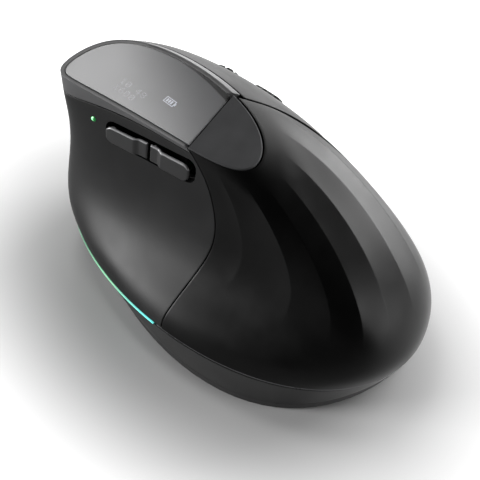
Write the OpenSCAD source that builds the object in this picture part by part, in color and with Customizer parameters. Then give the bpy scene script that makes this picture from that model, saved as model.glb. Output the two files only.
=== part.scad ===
// Right-hand vertical mouse: tall slanted grip, display window on top, thumb keys, scroll wheel, light strip.
// Millimetres. +X is the finger side, -X the thumb side, +Y the front, +Z up; the feet stand on z = 0.

/* [Body] */
// Width over the base
body_w = 75; // [70:0.5:80]
// Length over the base
body_l = 122; // [114:1:130]
// Height of the top rim at its middle
rim_z = 66; // [63:0.5:70]
// Height of the parting line between base and shells
parting_z = 12; // [11.5:0.1:13]
// Wall of the outer shells
wall = 2; // [1.7:0.1:2.3]
// Joint line between fixed shells
seam = 0.3; // [0.2:0.05:0.4]
// Gap round a moving button or key
move_gap = 0.45; // [0.4:0.05:0.6]
// Gap at the nose, where the buttons swing furthest
nose_gap = 0.6; // [0.5:0.05:0.8]

/* [Palm flutes] */
// Angle round the body between two crests
flute_pitch = 17.9; // [15:0.1:20]
// Depth of a flute
flute_d = 0.45; // [0.2:0.05:0.7]

/* [Base] */
// Thickness of the feet
foot_h = 0.8; // [0.6:0.1:1]
// Thickness of the base plate
plate_h = 2; // [1.8:0.1:2.2]
// Height of the trim ring under the shells
trim_h = 1; // [0.8:0.1:1.2]
// How far the trim ring lies back from the shells
trim_back = 0.25; // [0.1:0.05:0.5]
// How far the light strip stands out
light_out = 0.3; // [0:0.05:0.5]

/* [Top] */
// Width of the frame's lip round the display window
lip_w = 1.2; // [1:0.1:1.4]
// Thickness of the display window
window_h = 0.9; // [0.8:0.05:1]
// How far window and rear cap stand over the rim
window_up = 0.2; // [0:0.05:0.3]

/* [Fingers] */
// Outside diameter of the wheel
wheel_d = 22; // [20:0.5:22.5]
// Width of the wheel
wheel_w = 5.6; // [5:0.1:6]
// How far the wheel stands out of the strip
wheel_out = 1.8; // [1.4:0.1:2.3]
// Diameter of the wheel's axle
axle_d = 2.5; // [2:0.1:2.8]
// Diameter of the button pins
pin_d = 2; // [1.6:0.1:2.4]
// Radial clearance of running fits
run_fit = 0.05; // [0.03:0.01:0.08]
// How far the DPI button stands out
dpi_out = 1; // [0.8:0.1:1.5]

/* [Thumb keys] */
// Length of one key
key_l = 13.8; // [13:0.1:14.2]
// Height of one key
key_h = 5.8; // [5.4:0.1:6]
// How far the keys stand out
key_out = 1; // [0.6:0.1:1.2]
// Extra room of the pocket above and behind the keys
pocket_room = 1.2; // [0.9:0.1:1.3]

/* [Electronics] */
// Thickness of the boards
board_h = 1.2; // [1:0.1:1.4]
// Height of the main switches
switch_h = 6.5; // [6:0.1:6.8]
// Length of the power slider's travel
power_travel = 3; // [2:0.1:3.5]
// Length of the battery cell
cell_l = 38; // [34:1:40]
// Width of the socket's mouth
usb_w = 8.94; // [8.94:0.01:8.94]
// Height of the socket's mouth
usb_h = 3.26; // [3.26:0.01:3.26]

/* [Hidden] */
$fn = 48;
eps = 0.01;

// Sections of the body from the parting line up to the rim
sx = body_w / 75;
sy = body_l / 122;
sz = (rim_z - parting_z) / 54;
sec_z = [for (f = [0, 6, 16, 28, 40, 49, 54]) parting_z + f * sz];
sec_left = sx * [-37.25, -35, -24.5, -20, -18.5, -18.5, -18];
sec_right = sx * [37.5, 36, 31.5, 27.5, 23.5, 15.5, 7];
sec_rear = sy * [-60.2, -61.6, -59, -50.5, -36.5, -20, -9.5];
sec_front = sy * [61, 60, 57, 54, 52, 52, 53.3];
sec_mid_x = sx * [-1, -3, -5, -6, -8, -10, -12];
sec_mid_y = sy * [-5, -3, 2, 8, 17, 24, 29];
sec_lean = [-0.03, -0.03, -0.04, -0.05, -0.09, -0.13, -0.13];
sec_square = [0, 0.02, 0.05, 0.06, 0.05, 0.05, 0.03];
sec_pitch = [0, 0, 0.02, 0.04, 0.06, 0.09, 0.1];
sec_roll = [0, 0, 0.02, 0.03, 0.05, 0.07, 0.08];
LAST = len(sec_z) - 1;
SEC = [for (i = [0:LAST]) [sec_z[i], sec_left[i], sec_right[i], sec_rear[i], sec_front[i], sec_mid_x[i],
  sec_mid_y[i], sec_lean[i], sec_square[i], sec_pitch[i], sec_roll[i]]];
FLOOR = [foot_h, -37.4 * sx, 31 * sx, -55.8 * sy, 58.2 * sy, 4 * sx, -13 * sy, -0.03, 0, 0, 0];

// A smooth section at t = 0 (parting line) to 1 (rim)
function control(i) =
  i < 0 ? 2 * SEC[0] - SEC[1]
  : i > LAST ? 2 * SEC[LAST] - SEC[LAST - 1]
  : SEC[i];
function section(t) =
  let (s = min(max(t, 0), 1) * LAST, i = min(floor(s), LAST - 1), f = s - i)
  (pow(1 - f, 3) * control(i - 1) + (3 * pow(f, 3) - 6 * f * f + 4) * control(i)
    + (3 * f + 3 * f * f - 3 * pow(f, 3) + 1) * control(i + 1) + pow(f, 3) * control(i + 2)) / 6;
function ring(r, a) =
  let (
    cu = (cos(a) - r[8] * cos(3 * a)) / (1 - r[8]),
    su = (sin(a) + r[8] * sin(3 * a)) / (1 - r[8]),
    y = r[6] + ((r[4] - r[3]) / 2 + ((r[4] + r[3]) / 2 - r[6]) * sin(a)) * su,
    x = r[5] + ((r[2] - r[1]) / 2 + ((r[2] + r[1]) / 2 - r[5]) * cos(a)) * cu + r[7] * (y - r[6])
  )
  [x, y, r[0] + r[9] * (y - r[6]) + r[10] * (x - r[5])];
function outward(r, a) =
  let (p = ring(r, a - 0.5), q = ring(r, a + 0.5), d = [q[1] - p[1], p[0] - q[0], 0])
  d / norm(d);
function shift_out(r, a, d) = ring(r, a) + d * outward(r, a);
function body(a, t) = ring(section(t), a);
function deg_of(a, t, d) = d / norm(body(a + 0.5, t) - body(a - 0.5, t));
function t_of(a, t, d) = 0.01 * d / norm(body(a, t + 0.005) - body(a, t - 0.005));
function smooth(lo, hi, v) = let (f = min(max((v - lo) / (hi - lo), 0), 1)) f * f * (3 - 2 * f);

// Lines on the body: angles round it, heights t up it
thumb_low = 175.5;
thumb_rise = 38.5;
finger_a = 330;
nose_a = 432;
thumb_front_a = 98;
rest_t = 0.29;
strip_lo_t = 0.555;
strip_hi_t = 0.685;
palm_top_t = 0.98;
cap_low_t = 0.987;
divider_left_a = 213.5;
divider_right_a = 331.5;
lip_t = 0.03;
lip_front_t = 0.12;
lip_front_a = 125;
lip_reach = 72;
function thumb_seam(t) = thumb_low + thumb_rise * (0.18 * t + 1.9 * t * t - 1.08 * t * t * t);
function lip_low(a) =
  let (f = min(abs(a - lip_front_a) / lip_reach, abs(a - 360 - lip_front_a) / lip_reach, 1))
  1 - lip_t - lip_front_t * pow(cos(90 * f), 2);

// Closed solid through stations of equal point loops; each loop runs up the outside and down the inside
module sweep(stations, closed = false, fan = false) {
  n = len(stations);
  m = len(stations[0]);
  steps = closed ? n : n - 1;
  function id(i, j) = (i % n) * m + j % m;
  sides = [for (i = [0:steps - 1]) for (j = [0:m - 1])
    each [[id(i, j), id(i, j + 1), id(i + 1, j + 1)], [id(i, j), id(i + 1, j + 1), id(i + 1, j)]]];
  ladder = [for (j = [0:m / 2 - 2]) each [[j, m - 2 - j, j + 1], [j, m - 1 - j, m - 2 - j]]];
  spokes = [for (j = [0:m - 3]) [m - 1, j + 1, j]];
  cap = fan ? spokes : ladder;
  first = [for (f = cap) [for (k = f) id(0, k)]];
  final = [for (f = cap) [id(n - 1, f[2]), id(n - 1, f[1]), id(n - 1, f[0])]];
  polyhedron([for (s = stations) each s], closed ? sides : concat(sides, first, final), convexity = 8);
}

// A shell between two lines round the body and two lines up it; gaps in mm at [lo, hi, bottom, top]
module panel(lo, hi, bottom, top, gaps, count, out = function(a, t) 0, inner = -wall) {
  function low_a(t) = let (a = lo(t)) a + deg_of(a, t, gaps[0]);
  function high_a(t) = let (a = hi(t)) a - deg_of(a, t, gaps[1]);
  function line_t(u, v) =
    let (
      a = low_a(0.9) + u * (high_a(0.9) - low_a(0.9)),
      t0 = bottom(a) + (gaps[2] > 0 ? t_of(a, bottom(a), gaps[2]) : 0),
      t1 = top(a) - (gaps[3] > 0 ? t_of(a, top(a), gaps[3]) : 0)
    )
    t0 + v * (t1 - t0);
  function spot(u, v) = let (t = line_t(u, v)) [low_a(t) + u * (high_a(t) - low_a(t)), t];
  sweep([for (i = [0:count[0]]) let (column = [for (j = [0:count[1]]) spot(i / count[0], j / count[1])])
    concat(
      [for (p = column) shift_out(section(p[1]), p[0], out(p[0], p[1]))],
      [for (j = [count[1]:-1:0]) let (p = column[j]) shift_out(section(p[1]), p[0], inner)]
    )]);
}

// A closed or open band through loops given round the body
module band(a0, a1, count, profile, closed = false) {
  sweep([for (i = [0:closed ? count - 1 : count]) profile(a0 + (a1 - a0) * i / count)], closed);
}

// Plane of the rim: local x and y lie in it, local z stands on it
rim_row = SEC[LAST];
rim_o = [rim_row[5], rim_row[6], rim_row[0]];
rim_ax = asin(rim_row[9] / norm([rim_row[9], rim_row[10], 1]));
rim_ay = -atan(rim_row[10]);
rim_ux = [cos(rim_ay), 0, -sin(rim_ay)];
rim_uz = [cos(rim_ax) * sin(rim_ay), -sin(rim_ax), cos(rim_ax) * cos(rim_ay)];
rim_uy = cross(rim_uz, rim_ux);
function under_rim(p) = rim_o[2] + rim_row[9] * (p[1] - rim_o[1]) + rim_row[10] * (p[0] - rim_o[0]);
function rim_at(a, d) = ring(rim_row + d * [0, -1, 1, -1, 1, 0, 0, 0, 0, 0, 0], a);
function on_rim(a, d) = let (p = rim_at(a, d) - rim_o) [p * rim_ux, p * rim_uy];
module on_top(z) {
  translate(rim_o) rotate([rim_ax, rim_ay, 0]) translate([0, 0, z]) children();
}
divider_l = on_rim(divider_left_a, 0);
divider_r = on_rim(divider_right_a, 0);
divider_u = (divider_r - divider_l) / norm(divider_r - divider_l);
divider_v = [divider_u[1], -divider_u[0]];
divider_reach = 12;
rear_reach = 40;
module rear_half(back) {
  p = divider_l - divider_reach * divider_u + back * divider_v;
  q = divider_r + divider_reach * divider_u + back * divider_v;
  far = rear_reach * divider_v;
  linear_extrude(rear_reach, center = true) polygon([p, q, q + far, p + far]);
}
module rim_plate(inset, height, steps = 72) {
  linear_extrude(height) polygon([for (i = [0:steps - 1]) on_rim(360 * i / steps, -inset)]);
}
seat_inset = 5.6;
tray_inset = 4.4;
flange_in = 3.4;
window_fit = 0.12;
module_h = 1.9;
tray_h = 2;
tray_top = window_up - window_h - module_h;
cap_edge = 0.3;
cap_plug_h = 1.5;
cap_plug_inset = 2.8;

// Frame of the finger side at the wheel: local x points out, y along the strip to the front, z up the slope
wheel_a = 375;
wheel_t = 0.62;
finger_o = body(wheel_a, wheel_t);
finger_du = body(wheel_a + 1, wheel_t) - body(wheel_a - 1, wheel_t);
finger_dv = body(wheel_a, wheel_t + 0.01) - body(wheel_a, wheel_t - 0.01);
finger_y = finger_du / norm(finger_du);
finger_n = cross(finger_du, finger_dv) / norm(cross(finger_du, finger_dv));
finger_s = cross(finger_n, finger_y);
function on_finger(a, t) = let (d = body(a, t) - finger_o) [d * finger_n, d * finger_y, d * finger_s];
module finger() {
  translate(finger_o)
    rotate([atan2(finger_y[2], finger_s[2]), -asin(finger_n[2]), atan2(finger_n[1], finger_n[0])]) children();
}
wheel_n = wheel_out - wheel_d / 2;
board_n = -14;
carrier_n = board_n - board_h;
carrier_h = 2;
left_at = on_finger(368, 0.83);
right_at = on_finger(374, 0.45);
left_hinge = on_finger(341, 0.735);
right_hinge = on_finger(347, 0.44);
dpi_at = on_finger(357.5, 0.64);
hinge_depth = 6.5;
press_l = 0.55;
lug_d = pin_d + 2.6;
lug_w = 4;
stem_d = 4;
dpi_l = 9.5;
dpi_w = 4.4;
dpi_depth = 3;
dpi_travel = 0.5;
click_travel = 0.5;
slot_room = 1.15;
slot_l = 2 * sqrt(pow(wheel_d / 2, 2) - pow(wheel_n, 2)) + 6.2;
slot_r = 1.6;
slot_w = wheel_w + 2 * slot_room;
cut_l = wheel_d / 2 - 0.4;
cut_w = slot_w / 2;
tact_h = 1.6;
tact_w = 4.5;
tact_room = 0.6;
nub_h = 0.35;
bridge_y = -wheel_d / 2 - 1.4;
middle_y = bridge_y - 1.1;
dpi_press = [dpi_at[0], middle_y - tact_w - tact_room, dpi_at[2]];
press_gap = 0.1;
dpi_rest = board_n + tact_h + nub_h + dpi_travel + press_gap;
hole_fit = 0.2;
slide_fit = 0.3;
module pill(l, w, r) {
  square([l - 2 * r, w], center = true);
  if (w > 2 * r) square([l, w - 2 * r], center = true);
  for (i = [-1, 1], j = [-1, 1]) translate([i * (l / 2 - r), j * (w / 2 - r)]) circle(r);
}
// A prism standing along the finger side's outward direction, drawn in its y and z
module finger_prism(at, n0, n1) {
  translate([n0, at[1], at[2]]) rotate([90, 0, 90]) linear_extrude(n1 - n0) children();
}
module thumb_prism(y, z, x0, x1) {
  translate([x0, y, z]) rotate([90, 0, 90]) linear_extrude(x1 - x0) children();
}

// Base
module base_outline() {
  polygon([for (i = [0:71]) let (p = ring(FLOOR, 5 * i)) [p[0], p[1]]]);
}
plate_top = foot_h + plate_h;
skirt_top = parting_z - trim_h;
flare = 0.7;
screw_d = 2.5;
head_d = 5;
head_h = 1.1;
screw_l = 9;
sensor_at = [2, -14];
sensor_hole_d = 7.4;
power_at = [-13, -10];
power_l = 7;
power_w = 4.4;
power_r = 1.2;
mode_at = [14, -9];
mode_d = 6;
standoff_d = 5;
standoff_top = 6.6;
board_screw_d = 2;
board_screw_at = [[-15, -34], [-15, 2], [15, -34], [15, 2]];
usb_x = -2;
plug_room = 0.8;
usb_z = 7;
usb_y0 = 48 * sy;
usb_y1 = 57.6 * sy;
usb_board_y = usb_y0 - 4;
usb_board_z = usb_z - usb_h / 2 - 0.15 - board_h;
flange_y0 = 8;
flange_y1 = usb_board_y;
base_screw_at = [for (x = [-13.2, 6], y = [flange_y0 + 4, flange_y1 - 4]) [x, y]];
function skirt_row(z) =
  let (f = (z - plate_top) / (parting_z - plate_top), r = FLOOR + pow(f, flare) * (SEC[0] - FLOOR))
  [for (i = [0:10]) i == 0 ? z : r[i]];
skirt_zs = [for (i = [0:4]) plate_top + (skirt_top - plate_top) * i / 4];

module base_plate() {
  color([0.13, 0.13, 0.14]) difference() {
    union() {
      translate([0, 0, foot_h]) linear_extrude(plate_h) base_outline();
      for (p = board_screw_at) translate([p[0], p[1], plate_top - eps])
        cylinder(h = standoff_top - plate_top + eps, d = standoff_d);
      for (i = [-1, 1]) translate([usb_x + i * 5, usb_y0 - 2, plate_top - eps])
        cylinder(h = usb_board_z - plate_top + eps, d = 3);
    }
    for (p = base_screw_at) translate([p[0], p[1], 0]) {
      cylinder(h = foot_h + head_h, d = head_d + 2 * hole_fit);
      cylinder(h = plate_top + 1, d = screw_d + 2 * hole_fit);
    }
    for (p = board_screw_at) translate([p[0], p[1], plate_top]) cylinder(h = standoff_top, d = board_screw_d);
    translate([sensor_at[0], sensor_at[1], 0]) cylinder(h = plate_top + 1, d = sensor_hole_d);
    translate([power_at[0], power_at[1], 0]) linear_extrude(plate_top + 1)
      pill(power_w + 2 * slide_fit, power_l + power_travel + 2 * slide_fit, power_r + slide_fit);
    translate([mode_at[0], mode_at[1], 0]) cylinder(h = plate_top + 1, d = mode_d + 2 * slide_fit);
  }
}
module base_skirt() {
  color([0.12, 0.12, 0.13]) difference() {
    band(0, 360, 72, function(a) concat(
      [for (z = skirt_zs) shift_out(skirt_row(z), a, 0)],
      [for (i = [4:-1:0]) shift_out(skirt_row(skirt_zs[i]), a, -wall)]), closed = true);
    translate([usb_x, usb_y0, usb_z]) rotate([-90, 0, 0]) linear_extrude(20)
      pill(usb_w + 2 * plug_room, usb_h + 2 * plug_room, 2.2);
  }
}
light_a0 = 100;
light_a1 = 172.5;
light_end = 1;
module ring_arc(a0, a1, count, out) {
  row = [for (i = [0:10]) i == 0 ? 0 : SEC[0][i]];
  band(a0, a1, count, function(a) [
    shift_out(row, a, out) + [0, 0, skirt_top], shift_out(row, a, out) + [0, 0, parting_z],
    shift_out(row, a, -wall) + [0, 0, parting_z], shift_out(row, a, -wall) + [0, 0, skirt_top]]);
}
module trim_ring() {
  color([0.3, 0.3, 0.31]) ring_arc(light_a1 + light_end, light_a0 + 360 - light_end, 64, -trim_back);
}
module light_strip() {
  color([0.55, 0.95, 0.85]) ring_arc(light_a0, light_a1, 20, light_out);
}
foot_l = 26;
foot_w = 7;
foot_at = [[1, 46 * sy, 0], [0, -44 * sy, 0], [-27.5 * sx, -3, 90], [23 * sx, -5, 90]];
module feet() {
  color([0.06, 0.06, 0.065]) for (p = foot_at) translate([p[0], p[1], 0]) rotate([0, 0, p[2]])
    linear_extrude(foot_h) pill(foot_l, foot_w, 3);
}
module base_screws() {
  color([0.55, 0.55, 0.57]) for (p = base_screw_at) translate([p[0], p[1], foot_h + head_h]) {
    translate([0, 0, -1]) difference() {
      cylinder(h = 1, d = head_d);
      translate([0, 0, -eps]) linear_extrude(0.6) {
        square([3, 0.7], center = true);
        square([0.7, 3], center = true);
      }
    }
    cylinder(h = screw_l, d = screw_d);
  }
}

// Shells
flute_a = 260;
flute_mid_t = 0.6;
flute_sweep = 52;
flute_first = -3.2;
// Flutes run up the palm side and sweep forward as they rise; each is a shallow hollow between two crests
function flute(a, t) =
  let (
    f = (a - flute_a - flute_sweep * (t - flute_mid_t)) / flute_pitch,
    w = f - floor(f),
    start = smooth(flute_first - 0.4, flute_first + 0.4, f),
    fade = start * smooth(0.32, 0.5, t) * (1 - smooth(0.78, 0.93, t))
  )
  -flute_d * fade * (1 - pow(2 * w - 1, 2));
module palm_shell() {
  color([0.1, 0.1, 0.105]) panel(function(t) thumb_seam(t), function(t) finger_a, function(a) 0,
    function(a) palm_top_t, [seam / 2, move_gap, 0, 0], [44, 18], function(a, t) flute(a, t));
}
key_y = 19.9;
key_z = 56.1;
key_gap = 0.8;
key_r = 2.4;
key_depth = 2.8;
pocket_l = 2 * key_l + key_gap + 2 * move_gap + pocket_room;
pocket_h = key_h + 2 * move_gap + pocket_room;
pocket_y = key_y - pocket_room / 2;
pocket_z = key_z + pocket_room / 2;
lamp_y = 38.8;
lamp_z = 58.2;
lamp_d = 1.6;
thumb_x = -30 * sx;
key_x = body(180, 0.75)[0];
side_face = -10.2;
module thumb_skin(inner, out, count, a0 = 150, a1 = 214, t0 = 0.6, t1 = 0.93) {
  panel(function(t) a0, function(t) a1, function(a) t0, function(a) t1, [0, 0, 0, 0], count,
    function(a, t) out, inner);
}
module thumb_panel() {
  color([0.17, 0.17, 0.18]) difference() {
    panel(function(t) thumb_front_a, function(t) thumb_seam(t), function(a) 0, function(a) lip_low(a),
      [seam / 2, seam / 2, 0, seam], [26, 18]);
    thumb_prism(pocket_y, pocket_z, thumb_x, side_face) pill(pocket_l, pocket_h, 3);
    thumb_prism(lamp_y, lamp_z, thumb_x, side_face) circle(d = lamp_d + 2 * run_fit);
  }
}
module front_shell() {
  color([0.1, 0.1, 0.105]) panel(function(t) nose_a - 360, function(t) thumb_front_a, function(a) 0,
    function(a) lip_low(a), [nose_gap, seam / 2, 0, seam], [8, 18]);
}
module side_shell() {
  color([0.1, 0.1, 0.105]) panel(function(t) finger_a, function(t) nose_a, function(a) 0, function(a) rest_t,
    [seam / 2, seam / 2, 0, 0], [20, 8]);
}

// Top
frame_end = 1.2;
frame_a0 = divider_right_a - 360 + frame_end;
frame_a1 = divider_left_a - frame_end;
frame_n = 62;
module top_frame() {
  color([0.2, 0.2, 0.21]) sweep([for (i = [0:frame_n]) let (
      a = frame_a0 + (frame_a1 - frame_a0) * i / frame_n,
      low = section(lip_low(a)),
      lip = rim_at(a, -lip_w),
      seat = rim_at(a, -seat_inset),
      foot = shift_out(low, a, -flange_in),
      z = window_up - window_h,
      down = tray_top
    )
    [seat + z * rim_uz, seat + down * rim_uz, [foot[0], foot[1], under_rim(foot) + down / rim_uz[2]], foot,
      ring(low, a), rim_at(a, 0), lip, lip + z * rim_uz]], fan = true);
}
module display_window() {
  color([0.25, 0.26, 0.28]) on_top(window_up - window_h) difference() {
    rim_plate(lip_w + window_fit, window_h);
    rear_half(-seam / 2);
  }
}
module rear_cap() {
  n = 60;
  low = section(cap_low_t);
  high = [for (i = [0:n - 1]) rim_at(360 * i / n, -cap_edge) + window_up * rim_uz];
  base = [for (i = [0:n - 1]) ring(low, 360 * i / n)];
  mid = rim_o + window_up * rim_uz;
  mid_low = [rim_o[0], rim_o[1], low[0] + low[9] * (rim_o[1] - low[6]) + low[10] * (rim_o[0] - low[5])];
  color([0.14, 0.14, 0.15]) {
    intersection() {
      polyhedron(concat(base, high, [mid_low, mid]), [for (i = [0:n - 1]) let (k = (i + 1) % n)
        each [[i, n + i, n + k], [i, n + k, k], [2 * n, i, k], [2 * n + 1, n + k, n + i]]], convexity = 4);
      on_top(0) rear_half(seam / 2);
    }
    on_top(-cap_plug_h) intersection() {
      rim_plate(cap_plug_inset, cap_plug_h);
      rear_half(seam / 2);
    }
    for (p = [[5, -25], [10, -25]]) on_top(tray_top) translate([p[0], p[1], 0])
      cylinder(h = -tray_top - cap_plug_h / 2, d = 4);
  }
}

// Main buttons: shell, hinge lug with its bore, and the stem over the switch
module button(lo_t, hi_t, hinge, at, count) {
  gaps = [move_gap, nose_gap, move_gap, move_gap];
  panel(function(t) finger_a, function(t) nose_a, lo_t, hi_t, gaps, count);
  finger() {
    translate([hinge[0] - hinge_depth, hinge[1], hinge[2]]) difference() {
      union() {
        cylinder(h = lug_w, d = lug_d, center = true);
        translate([0, -lug_d / 2, -lug_w / 2]) cube([hinge_depth - 1, lug_d, lug_w]);
      }
      cylinder(h = lug_w + 1, d = pin_d + 2 * run_fit, center = true);
    }
    finger_prism(at, board_n + switch_h + press_l, at[0] - 1) circle(d = stem_d);
  }
}
module left_button() {
  color([0.1, 0.1, 0.105])
    button(function(a) strip_hi_t, function(a) lip_low(a), left_hinge, left_at, [22, 8]);
}
module right_button() {
  color([0.1, 0.1, 0.105]) button(function(a) rest_t, function(a) strip_lo_t, right_hinge, right_at, [22, 9]);
}
module button_pins() {
  color([0.6, 0.6, 0.62]) finger() for (h = [left_hinge, right_hinge])
    translate([h[0] - hinge_depth, h[1], h[2]]) cylinder(h = 2 * hinge_pad, d = pin_d, center = true);
}
strip_posts = [on_finger(345, 0.62), on_finger(396, 0.62)];
strip_post_w = 2;
module centre_strip() {
  color([0.08, 0.08, 0.085]) {
    difference() {
      panel(function(t) finger_a, function(t) nose_a, function(a) strip_lo_t, function(a) strip_hi_t,
        [seam / 2, seam / 2, 0, 0], [24, 4]);
      finger() finger_prism([0, 0, 0], -8, 8) pill(slot_l, slot_w, slot_r);
      finger() finger_prism(dpi_at, -8, 8)
        pill(dpi_l + 2 * move_gap, dpi_w + 2 * move_gap, dpi_w / 2 + move_gap);
    }
    finger() {
      for (p = strip_posts) translate([carrier_n, p[1] - strip_post_w / 2, p[2] - 2])
        cube([p[0] - wall / 2 - carrier_n, strip_post_w, 4]);
    }
  }
}
module dpi_button() {
  color([0.05, 0.05, 0.055]) {
    intersection() {
      panel(function(t) 345, function(t) 369, function(a) 0.57, function(a) 0.71, [0, 0, 0, 0], [10, 5],
        function(a, t) dpi_out, -dpi_depth);
      finger() finger_prism(dpi_at, -8, 8) pill(dpi_l, dpi_w, dpi_w / 2);
    }
    finger() finger_prism(dpi_press, dpi_rest, dpi_at[0] - dpi_depth + 0.5) circle(d = 3);
  }
}

// Wheel, drawn round its own axle
module at_wheel() {
  finger() translate([wheel_n, 0, 0]) children();
}
tyre_h = 2.2;
hub_d = wheel_d - 2 * tyre_h;
rib_n = 24;
rib_d = 0.9;
module wheel_tyre() {
  color([0.05, 0.05, 0.052]) at_wheel() difference() {
    cylinder(h = wheel_w, d = wheel_d, center = true);
    cylinder(h = wheel_w + 1, d = hub_d, center = true);
    for (i = [0:rib_n - 1]) rotate([0, 0, 360 * i / rib_n]) translate([wheel_d / 2, 0, 0])
      cylinder(h = wheel_w + 1, d = rib_d, center = true, $fn = 24);
  }
}
module wheel_hub() {
  color([0.35, 0.35, 0.36]) at_wheel() difference() {
    cylinder(h = wheel_w, d = hub_d, center = true);
    cylinder(h = wheel_w + 1, d = axle_d, center = true);
    for (i = [-1, 1]) translate([0, 0, i * wheel_w / 2]) difference() {
      cylinder(h = 2, d = hub_d - 3, center = true);
      cylinder(h = 3, d = axle_d + 3, center = true);
    }
  }
}
cheek_in = wheel_w / 2 + 0.5;
cheek_h = 1.6;
cheek_out = cheek_in + cheek_h;
axle_over = 1.2;
module wheel_axle() {
  color([0.7, 0.7, 0.72]) at_wheel() translate([0, 0, -cheek_out - 3])
    cylinder(h = 2 * cheek_out + 3 + axle_over, d = axle_d);
}
guide_at = [[middle_y, -3.6], [middle_y, 3.6]];
guide_d = 2;
bridge_lo = board_n + tact_h + nub_h + click_travel + press_gap;
bridge_hi = bridge_lo + 3;
module wheel_carriage() {
  color([0.75, 0.75, 0.73]) finger() difference() {
    union() {
      for (i = [-1, 1]) {
        translate([-12.4, -5, i * (cheek_in + cheek_h / 2) - cheek_h / 2]) cube([7, 10, cheek_h]);
        translate([bridge_lo, bridge_y - 2.2, i * (cheek_in + cheek_h / 2) - cheek_h / 2])
          cube([bridge_hi - bridge_lo, -bridge_y, cheek_h]);
      }
      translate([bridge_lo, bridge_y - 2.2, -cheek_out]) cube([bridge_hi - bridge_lo, 2.2, 2 * cheek_out]);
      for (g = guide_at) translate([carrier_n - carrier_h - 1, g[0], g[1]]) rotate([0, 90, 0])
        cylinder(h = bridge_hi - carrier_n + carrier_h, d = guide_d);
    }
    translate([wheel_n, 0, 0]) cylinder(h = 20, d = axle_d + 2 * run_fit, center = true);
  }
}
module wheel_encoder() {
  color([0.2, 0.35, 0.25]) finger() difference() {
    translate([-13, -5, -cheek_out - 4.4]) cube([7.4, 10, 4.4]);
    translate([wheel_n, 0, 0]) cylinder(h = 40, d = axle_d + 2 * run_fit, center = true);
  }
}

// Thumb keys
forward_y = key_y + (key_l + key_gap) / 2;
back_y = key_y - (key_l + key_gap) / 2;
key_travel = 0.6;
side_tact_h = 2.5;
key_rest = side_face - side_tact_h - key_travel - press_gap;
module key_shape(grow, i) {
  pill(key_l + 2 * grow, key_h + 2 * grow, key_r + grow);
  translate([-i * key_l / 4, 0]) pill(key_l / 2 + 2 * grow, key_h + 2 * grow, 0.6 + grow);
}
module key(y, i) {
  intersection() {
    thumb_skin(-key_depth, key_out, [18, 10]);
    thumb_prism(y, key_z, thumb_x, side_face) key_shape(0, i);
  }
  thumb_prism(y, key_z, key_x + key_depth / 2, key_rest) circle(d = 3);
}
module forward_key() {
  color([0.2, 0.2, 0.21]) key(forward_y, 1);
}
module back_key() {
  color([0.2, 0.2, 0.21]) key(back_y, -1);
}
bezel_h = 1.1;
bezel_room = 1.5;
bezel_posts = [body(187, 0.655), body(168.5, 0.65)];
module key_bezel() {
  color([0.03, 0.03, 0.032]) {
    difference() {
      intersection() {
        thumb_skin(-wall - 0.05 - bezel_h, -wall - 0.05, [18, 10]);
        thumb_prism(pocket_y, pocket_z - 1.3, thumb_x, side_face)
          pill(pocket_l + 2 * bezel_room, pocket_h + 2 * bezel_room + 2.6, 3);
      }
      thumb_prism(forward_y, key_z, thumb_x, side_face) key_shape(move_gap, 1);
      thumb_prism(back_y, key_z, thumb_x, side_face) key_shape(move_gap, -1);
    }
    for (p = bezel_posts) thumb_prism(p[1], p[2], p[0] + wall + bezel_h / 2, side_face) circle(d = 2.4);
  }
}
module status_lamp() {
  x = body(155.5, 0.775)[0] - 0.1;
  color([0.3, 0.9, 0.35]) thumb_prism(lamp_y, lamp_z, x, side_face) circle(d = lamp_d);
}

// Inner frame
spine_x0 = -5.5;
spine_x1 = -3;
spine_y0 = flange_y0 + 1;
spine_y1 = flange_y1 - 2;
flange_h = 2;
side_posts = [[10, 49], [36, 49]];
function tray_mid(y) = under_rim([spine_x0, y]) + tray_top - tray_h / 2;
cable_w = 4;
cable_y = 20;
cable_h = 0.4;
module chassis() {
  color([0.28, 0.29, 0.31]) difference() {
    union() {
      translate([spine_x0, 0, 0]) rotate([90, 0, 90]) linear_extrude(spine_x1 - spine_x0)
        polygon([[spine_y0, plate_top], [spine_y1, plate_top],
          [spine_y1, tray_mid(spine_y1)], [spine_y0, tray_mid(spine_y0)]]);
      translate([-15, flange_y0, plate_top]) cube([25, flange_y1 - flange_y0, flange_h]);
      for (p = base_screw_at) translate([p[0], p[1], plate_top]) cylinder(h = screw_l, d = 6);
      for (p = side_posts) translate([side_face + board_h, p[0], p[1]]) rotate([0, 90, 0])
        cylinder(h = spine_x0 - side_face - board_h + eps, d = 4);
      on_top(tray_top - tray_h) rim_plate(tray_inset, tray_h);
    }
    for (p = base_screw_at) translate([p[0], p[1], 0]) cylinder(h = foot_h + head_h + screw_l, d = screw_d);
    translate([spine_x0 - 2, cable_y - cable_w / 2 - 0.5, rim_z - 12]) cube([2, cable_w + 1, 20]);
  }
}
arm_z = 43;
arm_h = 4;
arm_w = 2.4;
carrier_y0 = strip_posts[0][1] - 2;
carrier_y1 = strip_posts[1][1] + 2;
carrier_s0 = right_at[2] - 5;
carrier_s1 = left_at[2] - 3.5;
hinge_post_l = 4.4;
hinge_post_w = 1.8;
hinge_post_top = pin_d / 2 + 0.5;
hinge_post_s = lug_w / 2 + slide_fit + hinge_post_w / 2 + 0.1;
hinge_pad = hinge_post_s + hinge_post_w / 2;
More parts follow.
